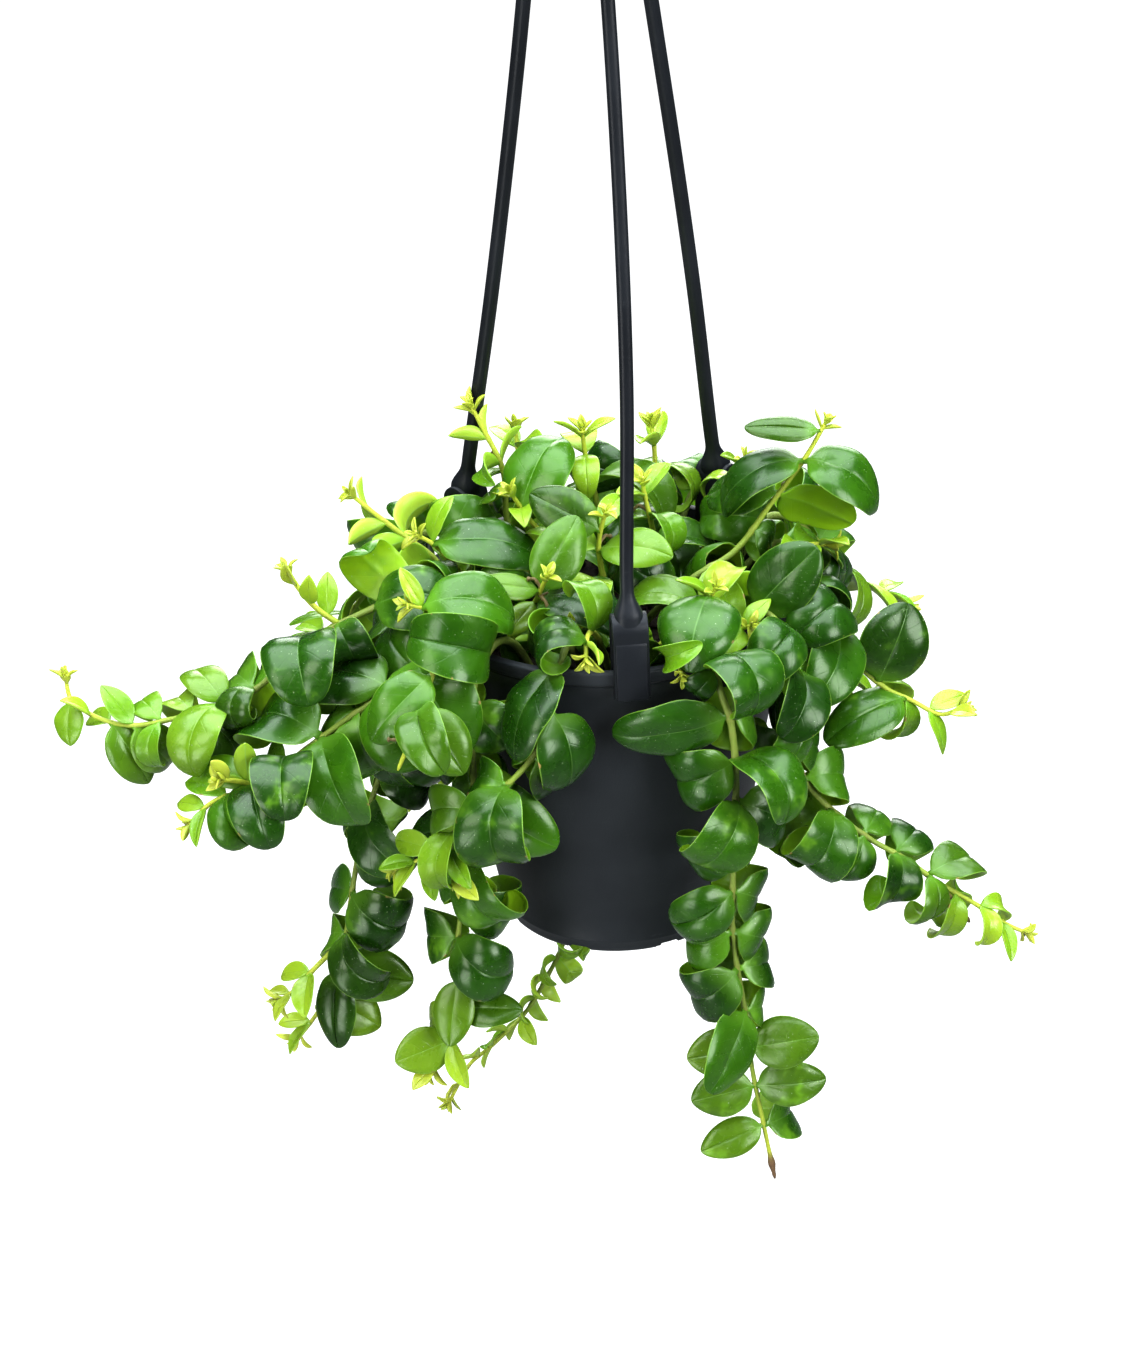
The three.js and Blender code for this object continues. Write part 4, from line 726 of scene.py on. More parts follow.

# %% The shoots
# Each has a seed for its chance numbers, the bare length of its stem, the gap between its ripe pairs,
# the length of a ripe leaf, its foot in the potting mix and the points that it runs through. Some also
# stand upright, spread less, ripen over another length, end bare or have a branch. A leaf with a listed
# pose has its pair, its side, the way it points, the way its face looks, its length, width and curl and,
# where it has one, its cup.
SET_BY_HAND = ("pair", "side", "ahead", "face", "length", "width", "curl", "cup")
SHOOTS = [
    dict(name="shoot_left_long", seed=11, bare=37, gap=14, leaf=37, ripen=105, foot=(-34, -12),
         route=[(-52, -20, 10), (-68, -26, 15), (-85, -30, 10), (-102, -38, 6), (-116, -45, -1),
                (-133, -50, -13), (-159, -50, -21), (-179, -46, -25), (-196, -40, -19), (-199, -37, -8)],
         posed=[(3, 1, (8, -5, 3), (0, -5, 9), 42, 30, 1.8),
                (5, 1, (-2, -6, 8), (-1, 8, 6), 45, 27, 2.8, 0.15),
                (9, 1, (9, -5, -2), (0, -5, 9), 30, 19, 2.2),
                (11, 1, (8, -5, -7), (-2, -6, 8), 28, 17, 1.8), (12, 1, (6, -5, -8), (2, -8, 5), 29, 16, 1),
                (14, 1, (-2, -7, -6), (-4, -6, 6), 17, 12, 0.8)],
         branch=[(-98, -36, 7), (-106, -36, 14), (-112, -35, 22), (-116, -33, 30)]),
    dict(name="shoot_left_low", seed=12, bare=30, gap=15, leaf=40, foot=(-44, -24),
         route=[(-56, -40, 7), (-66, -52, 4), (-80, -58, -8), (-96, -63, -17), (-113, -68, -27),
                (-129, -72, -38), (-145, -74, -42), (-156, -75, -52)],
         posed=[(6, 1, (-1, -6, 8), (0, 8, 6), 40, 22, 2.8, 0.15),
                (7, 1, (-2, -6, 7), (-2, 8, 6), 38, 20, 2.8, 0.15),
                (8, 1, (-3, -6, 6), (-3, 8, 6), 35, 19, 2.8, 0.1)],
         branch=[(-129, -72, -38), (-137, -78, -32), (-143, -82, -29)]),
    dict(name="shoot_left_hanging", seed=13, bare=42, gap=18, leaf=35, foot=(-46, -4),
         route=[(-65, -14, 7), (-77, -20, -4), (-82, -26, -26), (-86, -32, -53), (-95, -36, -80),
                (-101, -40, -107), (-106, -41, -132), (-115, -42, -153), (-126, -44, -168)],
         posed=[(9, 1, (10, -3, -1), (0, -9, 4), 29, 20, 0.4),
                (9, -1, (-2, -6, -9), (-4, -8, 4), 32, 16, 0.7),
                (10, 1, (9, -4, -4), (0, -8, 6), 24, 18, 0.6)],
         branch=[(-104, -41, -124), (-116, -45, -134), (-125, -47, -143), (-132, -48, -147)]),
    dict(name="shoot_front_left_hanging", seed=14, bare=46, gap=18, leaf=35, foot=(-30, -42),
         route=[(-36, -50, 4), (-43, -58, 7), (-50, -66, -4), (-52, -67, -34), (-52, -65, -62),
                (-56, -62, -89), (-61, -60, -111), (-63, -60, -142), (-66, -62, -158), (-75, -64, -172)],
         posed=[(8, -1, (-2, -6, -8), (-2, -9, 5), 26, 15, 0.4),
                (9, 1, (9, -4, 3), (0, -6, 8), 26, 14, 0.5),
                (10, -1, (-9, -3, -2), (0, -9, 4), 23, 17, 0.3)]),
    dict(name="shoot_front_bare_tip", seed=15, bare=22, bare_end=20, gap=14, leaf=30, ripen=30,
         foot=(-38, -36),
         route=[(-43, -43, 4), (-50, -53, 13), (-60, -70, 14), (-66, -81, 4), (-72, -90, -9),
                (-78, -93, -22)],
         posed=[(4, 1, (-7, -5, -3), (-3, -8, 5), 34, 19, 1.2),
                (5, -1, (5, -6, -6), (1, -9, 4), 28, 19, 0.6)]),
    dict(name="shoot_front_left", seed=16, bare=24, gap=15, leaf=40, foot=(-12, -40),
         route=[(-16, -58, 6), (-19, -70, 4), (-24, -81, -10), (-31, -86, -24), (-45, -88, -38),
                (-58, -88, -50), (-69, -87, -61), (-83, -84, -69)],
         posed=[(2, 1, (-7, -6, -2), (-6, -4, 7), 40, 23, 1.4),
                (3, -1, (5, -6, -5), (3, -4, 8), 38, 25, 2.2)],
         branch=[(-61, -87, -53), (-62, -92, -62), (-59, -94, -70)]),
    dict(name="shoot_back_long", seed=17, bare=96, gap=13, leaf=21, ripen=150, foot=(-12, 36),
         route=[(-16, 58, 6), (-18, 71, 3), (-20, 77, -14), (-18, 76, -60), (-14, 70, -115),
                (-15, 63, -160), (-22, 59, -192), (-31, 55, -210), (-40, 48, -221), (-54, 36, -228),
                (-63, 26, -230), (-72, 18, -243)]),
    dict(name="shoot_right_hanging", seed=18, bare=26, bare_end=9, gap=18, leaf=33, ripen=26, spread=0.45,
         foot=(22, -34),
         route=[(30, -58, 6), (34, -69, 4), (38, -75, -8), (41, -77, -20), (42, -78, -44), (40, -77, -87),
                (40, -75, -112), (44, -73, -146), (46, -70, -171), (50, -69, -198), (54, -68, -224)],
         posed=[(2, 1, (3, -2, 9), (-5, 7, 4), 50, 25, 4.5),
                (3, -1, (-9, -3, -2), (0, -10, -1), 44, 22, 0.9),
                (4, 1, (6, -5, 5), (0, 2, 10), 40, 25, 2.6, 0.2),
                (11, -1, (-10, -3, 0), (0, -9, 4), 24, 18, 0.5),
                (11, 1, (9, -3, 3), (0, -9, 5), 27, 19, 0.5),
                (12, -1, (-10, -3, -1), (0, -9, 3), 25, 18, 0.4),
                (12, 1, (7, -4, 2), (2, -8, 3), 28, 17, 1),
                (13, -1, (-9, -3, -2), (0, -8, 6), 26, 14, 0.4)]),
    dict(name="shoot_right_low", seed=19, bare=42, gap=15, leaf=33, foot=(36, -22),
         route=[(52, -38, 6), (61, -47, 3), (66, -54, -12), (65, -57, -32), (66, -57, -50), (76, -57, -66),
                (91, -58, -80), (105, -58, -90), (116, -58, -100), (131, -58, -111), (142, -58, -120),
                (151, -58, -125)],
         posed=[(0, 1, (6, -2, 8), (-2, -9, 5), 34, 23, 0.6)]),
    dict(name="shoot_right", seed=20, bare=26, gap=15, leaf=39, foot=(40, -6),
         route=[(56, -14, 6), (70, -20, 5), (81, -25, -10), (90, -27, -24), (100, -30, -33),
                (110, -32, -38), (120, -34, -43), (129, -34, -40)],
         posed=[(3, 1, (5, -3, 8), (6, 5, 2), 46, 24, 3.4), (5, -1, (4, -2, 9), (2, -8, 4), 33, 25, 1),
                (6, 1, (-9, -6, 1), (0, -5, 9), 36, 20, 1)]),
    dict(name="shoot_right_back_low", seed=21, bare=40, gap=14, leaf=30, foot=(44, 10),
         route=[(60, 12, 6), (72, 14, 3), (78, 12, -14), (82, 6, -32), (88, -2, -46), (92, -8, -58)]),
    dict(name="shoot_right_rising", seed=22, bare=28, gap=19, leaf=39, foot=(14, -10),
         route=[(31, -11, 6), (47, -6, 14), (61, 0, 30), (73, 3, 45), (82, 5, 60)],
         posed=[(1, 1, (0, -8, -5), (3, -6, 7), 20, 11, 0.4), (2, 1, (8, -2, -2), (2, -7, 8), 38, 25, 2.8),
                (3, -1, (-9, 4, 1), (0, -6, 9), 34, 21, 1), (3, 1, (6, 3, -3), (2, 10, 3), 34, 22, 0.5),
                (4, -1, (-9, -1, 2), (-1, -3, 10), 42, 20, 1.9),
                (4, 1, (7, -3, 1), (3, -4, 9), 38, 24, 1.8),
                (5, -1, (-10, 0, 2), (0, -4, 10), 28, 12, 0.3)]),
    dict(name="shoot_left_rising", seed=23, bare=22, gap=16, leaf=30, foot=(-28, 16),
         route=[(-36, 25, 12), (-37, 28, 34), (-43, 29, 50), (-48, 29, 62)]),
    dict(name="shoot_left_spray", seed=24, bare=24, gap=15, leaf=34, foot=(-52, 8),
         route=[(-64, 10, 8), (-74, 11, 17), (-84, 12, 26), (-94, 12, 36)]),
    dict(name="crown_rosette", seed=31, bare=18, gap=12, leaf=24, upright=True, foot=(-22, -18),
         route=[(-27, -26, 4), (-26, -37, 15), (-22, -43, 27)],
         posed=[(2, 1, (6, -5, 3), (2, -3, 10), 42, 22, 1.8),
                (2, -1, (-5, -6, -2), (-2, -7, 7), 18, 10, 0.5),
                (3, 1, (5, 4, 8), (0, -10, 5), 31, 18, 0.4),
                (3, -1, (-9, -2, 4), (0, -5, 9), 24, 11, 0.5)]),
    dict(name="crown_front_roll", seed=32, bare=18, gap=10, leaf=39, upright=True, foot=(-8, -28),
         route=[(-12, -42, 2), (-14, -52, 10)]),
    dict(name="crown_middle", seed=33, bare=21, gap=12, leaf=38, upright=True, foot=(0, -6),
         route=[(-2, -10, 8), (-3, -14, 24), (0, -16, 38)],
         posed=[(3, 1, (-8, 1, 5), (0, -10, 6), 30, 17, 0.7)]),
    dict(name="crown_middle_left", seed=34, bare=21, gap=12, leaf=39, upright=True, foot=(-14, 4),
         route=[(-20, 8, 10), (-29, 9, 25), (-35, 8, 36)],
         posed=[(3, 1, (2, 1, 10), (-5, -8, 3), 36, 25, 1.7)]),
    dict(name="crown_left", seed=35, bare=22, gap=12, leaf=42, upright=True, foot=(-44, 4),
         route=[(-52, -4, 6), (-62, -8, 22), (-70, -12, 30)],
         posed=[(3, 1, (9, -2, 3), (0, -4, 10), 44, 23, 1.3)]),
    dict(name="crown_left_front", seed=36, bare=21, gap=13, leaf=41, upright=True, foot=(-34, -30),
         route=[(-42, -40, 7), (-57, -50, 17), (-73, -57, 25)],
         posed=[(4, 1, (7, -2, 6), (0, -5, 9), 44, 23, 2.4)]),
    dict(name="crown_back_left", seed=37, bare=23, gap=13, leaf=37, upright=True, foot=(-24, 34),
         route=[(-28, 42, 12), (-31, 48, 30), (-32, 52, 42)]),
    dict(name="crown_back", seed=38, bare=23, gap=13, leaf=37, upright=True, foot=(2, 28),
         route=[(-2, 32, 14), (-6, 32, 36), (-7, 30, 50)]),
    dict(name="crown_back_right", seed=39, bare=23, gap=13, leaf=36, upright=True, foot=(18, 36),
         route=[(20, 44, 12), (20, 48, 32), (19, 50, 42)]),
    dict(name="crown_right_back", seed=40, bare=23, gap=13, leaf=36, upright=True, foot=(34, 24),
         route=[(42, 30, 10), (50, 32, 24), (54, 32, 34)]),
    dict(name="crown_middle_right", seed=41, bare=21, gap=12, leaf=36, upright=True, foot=(20, 10),
         route=[(18, 10, 12), (15, 10, 30), (14, 9, 38)]),
    dict(name="crown_right_front", seed=42, bare=20, gap=12, leaf=40, upright=True, foot=(28, -24),
         route=[(33, -35, 6), (35, -45, 14), (38, -48, 22)],
         posed=[(3, 1, (-2, -8, 5), (0, -2, 10), 42, 29, 2.2, -0.2)]),
    dict(name="crown_drape_left", seed=44, bare=20, gap=13, leaf=38, ripen=34, foot=(-2, -42),
         route=[(-6, -56, 9), (-9, -67, 14), (-10, -77, 9)],
         posed=[(3, 1, (-4, -1, 9), (9, 0, 4), 42, 21, 5.1)]),
    dict(name="crown_drape_right", seed=45, bare=18, gap=13, leaf=36, ripen=34, foot=(13, -46),
         route=[(18, -56, 4), (22, -67, 5), (24, -75, 0)]),
    dict(name="crown_right_edge", seed=46, bare=18, gap=10, leaf=38, upright=True, foot=(37, -36),
         route=[(46, -47, 3), (50, -53, 8)]),
    dict(name="crown_right", seed=43, bare=22, gap=12, leaf=40, upright=True, foot=(54, -2),
         route=[(61, -3, 8), (72, -4, 14), (84, -5, 14)]),
    dict(name="shoot_back_left_hanging", seed=51, bare=40, gap=20, leaf=36, foot=(-30, 34),
         route=[(-37, 49, 5), (-44, 60, 5), (-53, 68, -10), (-60, 73, -32), (-66, 76, -58), (-72, 77, -86),
                (-76, 77, -112), (-82, 77, -136)]),
    dict(name="shoot_back_left_low", seed=52, bare=34, gap=17, leaf=37, foot=(-50, 24),
         route=[(-57, 29, 5), (-67, 34, 7), (-78, 40, -2), (-88, 45, -18), (-99, 50, -34), (-112, 54, -46),
                (-126, 56, -58)]),
    dict(name="shoot_back_hanging", seed=53, bare=40, gap=20, leaf=36, foot=(8, 42),
         route=[(12, 60, 6), (14, 72, 2), (16, 80, -16), (18, 82, -48), (18, 80, -80), (22, 78, -106),
                (28, 78, -126)]),
    dict(name="shoot_back_right_hanging", seed=54, bare=40, gap=20, leaf=36, foot=(26, 46),
         route=[(34, 58, 6), (40, 67, 2), (46, 74, -16), (50, 78, -46), (52, 80, -78), (58, 82, -104)]),
    dict(name="shoot_back_right_low", seed=55, bare=34, gap=17, leaf=37, foot=(48, 26),
         route=[(60, 34, 6), (72, 42, 1), (82, 50, -14), (92, 58, -30), (104, 64, -42), (118, 68, -52)]),
]
print("shoots:", len(SHOOTS))

# %% The line of a shoot
UP = np.array([0.0, 0.0, 1.0])


def seeded(seed):
    """A linear congruential source of chance numbers, the same as the one behind the solids."""
    state = seed * 7919 + 17

    def draw():
        nonlocal state
        state = (state * 1664525 + 1013904223) % 4294967296
        return state / 4294967296
    return draw


def wanted_face(place):
    """The side that upper faces look to: up, and away from the plant's middle."""
    out = np.array([place[0], place[1], 0.0])
    if np.linalg.norm(out) < 1:
        out = np.array([0.0, -1.0, 0.0])
    return unit(out) + UP * 0.7


def make_route(points):
    """A smooth line through the points, with its heading and its carried face at each place."""
    knots = [np.array(p, float) for p in points]
    last = len(knots) - 1
    count = SPAN_STEPS * last
    places = []
    for i in range(count + 1):
        spot = last * (i / count)
        k = min(int(math.floor(spot)), last - 1)
        t = spot - k
        before = knots[k - 1] if k > 0 else 2 * knots[0] - knots[1]
        after = knots[k + 2] if k + 2 <= last else 2 * knots[last] - knots[last - 1]
        a, b = knots[k], knots[k + 1]
        start, stop = 0.5 * (b - before), 0.5 * (after - a)
        places.append(a + start * t + (3 * (b - a) - 2 * start - stop) * t * t
                      + (2 * (a - b) + start + stop) * t ** 3)
    places = np.array(places)
    lengths = np.concatenate([[0.0], np.cumsum(np.linalg.norm(np.diff(places, axis=0), axis=1))])
    headings = [unit(places[min(i + 1, count)] - places[max(i - 1, 0)]) for i in range(count + 1)]
    sides = [across(wanted_face(places[0]), headings[0])]
    for i in range(1, count + 1):
        sides.append(across(sides[-1] + wanted_face(places[i]) * 0.25, headings[i]))
    return {"places": places, "lengths": lengths, "headings": headings, "faces": sides, "total": lengths[-1]}


def along(route, distance):
    """The place on a route and its three directions there."""
    lengths = route["lengths"]
    i = 1
    while i < len(lengths) - 1 and lengths[i] < distance:
        i += 1
    share = (distance - lengths[i - 1]) / (lengths[i] - lengths[i - 1])

    def between(values):
        return values[i - 1] + (values[i] - values[i - 1]) * share
    place, heading = between(route["places"]), unit(between(route["headings"]))
    face = across(between(route["faces"]), heading)
    return {"place": place, "heading": heading, "face": face, "sideways": np.cross(face, heading)}


# %% The pairs of leaves on a line
def leaf_pairs(shoot, route, bare, draw):
    """The pairs of leaves on a line, by the same rule and with the same numbers as in the solids."""
    pairs, distance, index = [], bare, 0
    upright = shoot.get("upright", False)
    ripen = shoot.get("ripen", CROWN_RIPEN if upright else RIPEN)
    by_hand = [dict(zip(SET_BY_HAND, row)) for row in shoot.get("posed", [])]
    while distance < route["total"] - shoot.get("bare_end", LAST_PAIR):
        share = min(1.0, (route["total"] - distance) / ripen)
        quarter = math.pi / 2 if upright and index % 2 else 0.0
        tilt = 0.0 if upright else (0.25 if index % 2 else -0.25) + (0.5 if index % 3 == 2 else 0.0)
        turn = quarter + (tilt + (draw() - 0.5) * 0.7) * shoot.get("spread", 1)
        leaves = []
        for side in (1, -1):
            roll = draw()
            curl = 0.5 + 1.2 * draw() * share
            if share > 0.35 and roll < 0.86:
                curl = 2 + 1.4 * draw()
            if share > 0.5 and roll < 0.6:
                curl = 3.4 + 1.7 * draw()
            full = YOUNG_LEAF + (shoot["leaf"] - YOUNG_LEAF) * share ** 0.8
            length = full * (0.88 + 0.24 * draw()) * (1 + 0.07 * curl)
            slim = length * LEAF_WIDTH * (0.9 + 0.2 * draw()) / (1 + 0.07 * curl)
            leaf = {"side": side, "turn": turn, "curl": curl, "length": length, "share": share,
                    "upright": upright, "width": slim * (0.72 + 0.28 * share),
                    "lean": 0.1 + 0.35 * draw() + 0.6 * (1 - share), "twist": (draw() - 0.5) * 1.1,
                    "cup": (draw() - 0.4) * 0.5 + 0.4 * (1 - share)}
            for posed in by_hand:
                if (posed["pair"], posed["side"]) == (index, side):
                    ripeness = min(1.0, posed["length"] / POSED_RIPE)
                    leaf.update({"twist": 0.0, "cup": 0.0, "share": ripeness, **posed})
            leaves.append(leaf)
        pairs.append({"distance": distance, "share": share, "leaves": leaves})
        distance += (0.5 + 0.5 * share) * shoot["gap"] * (0.9 + 0.2 * draw())
        index += 1
    return pairs


def posed_start(spot, leaf, turn_by):
    """A leaf with a listed pose points where it is set to."""
    ahead, heading = unit(np.array(leaf["ahead"], float)), spot["heading"]
    turned = (ahead * math.cos(turn_by / 2) + np.cross(heading, ahead) * math.sin(turn_by / 2)
              + heading * heading.dot(ahead) * (1 - math.cos(turn_by / 2)))
    return turned, np.array(leaf["face"], float)


def grown_start(spot, leaf, turn_by):
    """Every other leaf leaves its stem sideways, and its upper face turns to the light."""
    angle = leaf["turn"] + turn_by
    forward = leaf["side"] if leaf["upright"] else 1
    radial = spot["sideways"] * (leaf["side"] * math.cos(angle)) + spot["face"] * (forward * math.sin(angle))
    ahead = radial * math.cos(leaf["lean"]) + spot["heading"] * math.sin(leaf["lean"])
    if not leaf["upright"]:
        ahead = ahead + spot["face"] * 0.2
    return unit(ahead), UP + spot["face"] * (0.3 if leaf["upright"] else 2.0) + spot["heading"] * 0.3


def leaf_frame(spot, leaf, trial):
    """One leaf as it would lie after one of the tries."""
    turn_by, curl_by, size_by = trial
    ahead, light = (posed_start if "ahead" in leaf else grown_start)(spot, leaf, turn_by)
    return {"origin": spot["place"], "ahead": ahead, "upper": across(light, ahead),
            "curl": min(leaf["curl"] * curl_by, CURL_MOST), "twist": leaf["twist"], "cup": leaf["cup"],
            "length": leaf["length"] * size_by, "width": leaf["width"] * size_by, "share": leaf["share"],
            "thick": YOUNG_T + (LEAF_T - YOUNG_T) * leaf["share"]}


# %% The curled midrib of a leaf
def midrib(leaf):
    """Places along the midrib, from the stem to the tip, curled more and more towards the tip."""
    shares = np.arange(FINE_STEPS + 1) / FINE_STEPS
    bend = (leaf["curl"] * shares ** 1.2)[:, None]
    headings = leaf["ahead"] * np.cos(bend) - leaf["upper"] * np.sin(bend)
    steps = headings[:-1] * leaf["length"] / FINE_STEPS
    return leaf["origin"] + np.vstack([np.zeros(3), np.cumsum(steps, axis=0)])


# %% [markdown]
# ## Which leaves stand where
# A leaf that would have touched another leaf, a stem, a strap or the pot was turned, curled more or less
# or made smaller until it was free, and about a fifth found no room. The solids know the outcome: where
# a leaf stands, its solid has a corner exactly at the tip. So each possible tip is looked up among the
# corners of the shoot's solid.

# %% Look up each leaf in the solids
SAME_PLACE = 0.01  # in millimetres


def corners_of(node):
    """The corners of a node's solid, in millimetres from the middle of the rim, ready for a search."""
    mesh = frame["nodes"][node].data
    tree = kdtree.KDTree(len(mesh.vertices))
    for k, vertex in enumerate(mesh.vertices):
        tree.insert(Vector((vertex.co.x, vertex.co.y, vertex.co.z + HANG / PER_METRE)) * PER_METRE, k)
    tree.balance()
    return tree


def found_leaf(spot, leaf, tree):
    """The leaf after the first try whose tip is a corner of the solid, or None."""
    for trial in TRIES:
        tried = leaf_frame(spot, leaf, trial)
        if tree.find(midrib(tried)[-1])[2] < SAME_PLACE:
            return tried
    return None


# %% Grow every shoot
DRY_ENDS = {"shoot_right_hanging": 13.0}  # millimetres of stem that have dried back from the tip


def grow(shoot):
    """The stems of a shoot, and those of its leaves that its solid holds."""
    draw = seeded(shoot["seed"])
    standing = [[*shoot["foot"], SOIL_TOP + z] for z in (-STEM_DEPTH, -4, 3)] + shoot["route"]
    lines = [(standing, shoot["bare"], STEM_R)]
    if "branch" in shoot:
        lines.append((shoot["branch"], BRANCH_BARE, BRANCH_R))
    tree = corners_of(shoot["name"])
    stems, leaves, wanted = [], [], 0
    for points, bare, thick in lines:
        route = make_route(points)
        pairs = leaf_pairs(shoot, route, bare, draw)
        stems.append({"route": route, "pairs": pairs, "thick": thick, "bare_end": "bare_end" in shoot,
                      "dry": DRY_ENDS.get(shoot["name"], 0.0)})
        for pair in pairs:
            spot = along(route, pair["distance"])
            wanted += len(pair["leaves"])
            leaves += [leaf for leaf in (found_leaf(spot, each, tree) for each in pair["leaves"]) if leaf]
    return {"shoot": shoot, "stems": stems, "leaves": leaves, "wanted": wanted}


grown = [grow(shoot) for shoot in SHOOTS]
print("leaves found:", sum(len(g["leaves"]) for g in grown), "of", sum(g["wanted"] for g in grown))

# %% [markdown]
# ## Leaf and stem finishes
# The leaves are thick and waxy. From above they are a deep green with a broad soft sheen, and inside
# the rolls they show a pale yellow-green underside. Each leaf has a thin light margin, a faint midrib,
# paler patches and the odd scratch. One material does all of this, because each point of a leaf carries
# numbers: where it lies on the blade, how old its leaf is, and two chance values of its leaf.

# %% Leaf green, from dark to light patches, for old and new leaves and both faces
OLD_ABOVE = [(0.2, (0.006, 0.034, 0.001)), (0.5, (0.019, 0.082, 0.002)), (0.8, (0.052, 0.160, 0.004))]
NEW_ABOVE = [(0.2, (0.12, 0.28, 0.008)), (0.8, (0.32, 0.46, 0.03))]
OLD_BELOW = [(0.2, (0.11, 0.27, 0.004)), (0.8, (0.27, 0.46, 0.010))]
NEW_BELOW = [(0.2, (0.26, 0.44, 0.03)), (0.8, (0.42, 0.56, 0.07))]

leaf_skin, bench, shader = new_material("leaf_skin")
across_blade, along_blade, under = bench.numbers("blade")
age, tone, chance = bench.numbers("growth")
side = bench.maths("ABSOLUTE", across_blade)
blotches = bench.noise(85.0, 3.0, 0.55)
fine = bench.noise(420.0, 3.0, 0.6)
shade = bench.plus(bench.times(tone, 0.55), bench.times(blotches, 0.45))
ripe = bench.band(age, 0.25, 0.95)
above = bench.mix(ripe, bench.ramp(shade, NEW_ABOVE), bench.ramp(shade, OLD_ABOVE))
below = bench.mix(ripe, bench.ramp(shade, NEW_BELOW), bench.ramp(shade, OLD_BELOW))
underside = bench.band(under, 0.35, 0.65)
green = bench.mix(underside, above, below)

# %% Marks on a leaf: each is a mask and the colour that it shows
sunny = bench.times(bench.band(blotches, 0.55, 0.72), bench.band(chance, 0.45, 0.9, 0.0, 0.65))
pale_base = bench.times(bench.band(along_blade, 0.3, 0.04), 0.45)
rib = bench.times(bench.band(side, 0.045, 0.01), bench.band(age, 0.3, 1.0, 0.6, 0.16))
margin = bench.times(bench.band(side, 0.955, 0.995), 0.75)
newest = bench.band(age, 0.2, 0.03, 0.0, 0.85)
scraped = bench.group(scuff_group, Scale=330.0, Amount=0.55)["Mask"]
specks = bench.band(bench.noise(1300.0, 1.0), 0.735, 0.78, 0.0, 0.6)
nicked = bench.times(bench.band(bench.noise(230.0, 2.0), 0.66, 0.72), bench.band(side, 0.9, 0.97))
marks = [(sunny, (0.17, 0.36, 0.02)), (pale_base, (0.17, 0.38, 0.03)), (rib, (0.27, 0.48, 0.13)),
         (margin, (0.21, 0.38, 0.055)), (newest, (0.44, 0.47, 0.06)),
         (bench.times(scraped, 0.5), (0.22, 0.33, 0.14)), (specks, (0.42, 0.52, 0.34)),
         (nicked, (0.28, 0.20, 0.07))]
for mark, colour in marks:
    green = bench.mix(mark, green, colour)
bench.feed(green, shader.inputs["Base Color"])
print("marks on a leaf:", len(marks))

# %% Gloss and relief of a leaf
waxy = bench.plus(bench.band(blotches, 0.3, 0.75, 0.24, 0.34), bench.times(underside, 0.14))
bench.feed(bench.plus(waxy, bench.times(scraped, 0.3)), shader.inputs["Roughness"])
for name, value in (("Specular IOR Level", 0.5), ("Specular Tint", (0.90, 1.0, 0.82, 1.0)),
                    ("Coat Weight", 0.1), ("Coat Roughness", 0.14), ("Subsurface Weight", 0.22),
                    ("Subsurface Scale", 0.0012), ("Subsurface Radius", (0.8, 1.0, 0.1))):
    shader.inputs[name].default_value = value
vein_run = bench.maths("SUBTRACT", bench.times(along_blade, 6.0), bench.times(side, 1.5))
veins = bench.band(bench.maths("PINGPONG", vein_run, 0.5), 0.06, 0.0)
grain = bench.group(grain_group, Scale=2600.0, Swell=0.5)["Height"]
height = bench.times(blotches, 0.8)
for relief, share in ((veins, -0.12), (fine, 0.12), (grain, 0.05)):
    height = bench.plus(height, bench.times(relief, share))
bench.feed(bench.bump(height, 0.0004, 0.6), shader.inputs["Normal"])

# %% Stem finish
STEM_AGES = [(0.0, (0.20, 0.27, 0.045)), (0.35, (0.26, 0.36, 0.045)), (0.7, (0.36, 0.45, 0.05)),
             (1.0, (0.50, 0.56, 0.055))]
stem_skin, bench, shader = new_material("stem_skin")
youth, joint, dry = bench.numbers("stem")
streaks = bench.noise(260.0, 4.0, 0.65)
stem_colour = bench.ramp(youth, STEM_AGES)
for mark, colour in ((bench.band(streaks, 0.5, 0.8, 0.0, 0.25), (0.26, 0.20, 0.05)),
                     (bench.times(joint, 0.2), (0.30, 0.22, 0.07)), (dry, (0.17, 0.10, 0.05))):
    stem_colour = bench.mix(mark, stem_colour, colour)
bench.feed(stem_colour, shader.inputs["Base Color"])
bench.feed(bench.band(streaks, 0.3, 0.8, 0.42, 0.7), shader.inputs["Roughness"])
grain = bench.group(grain_group, Scale=1600.0, Swell=0.4)["Height"]
bench.feed(bench.bump(bench.plus(streaks, grain), 0.0003), shader.inputs["Normal"])
print("finishes:", [m.name for m in bpy.data.materials])

# %% [markdown]
# ## A fine leaf
# The solid has a few flat faces per leaf. The fine one follows the same curled midrib with a thick blade
# and a rounded margin. Its two halves swell on each side of a sunken midrib, the margin rolls under and
# waves a little, and at rolled leaves it may flare. A subdivision surface would round the solid too, but it
# would shrink it, and it can't give each half its swell. So the blade is computed point by point.

# %% The outline and the grid of a blade
SMALL_LEAF = 13.0  # a leaf shorter than this gets few faces, and any other gets many
FEW_COLUMNS = [0.12, 0.45, 0.8, 0.97, 1.0]
FEW_ROWS = [0, 0.08, 0.16, 0.27, 0.4, 0.54, 0.68, 0.8, 0.9, 0.97]
MANY_COLUMNS = [0.045, 0.14, 0.3, 0.48, 0.66, 0.82, 0.93, 0.985, 1.0]
MANY_ROWS = [0, 0.05, 0.09, 0.13, 0.18, 0.24, 0.31, 0.38, 0.45, 0.52, 0.59, 0.66, 0.73, 0.8, 0.86, 0.91,
             0.95, 0.98, 0.994]


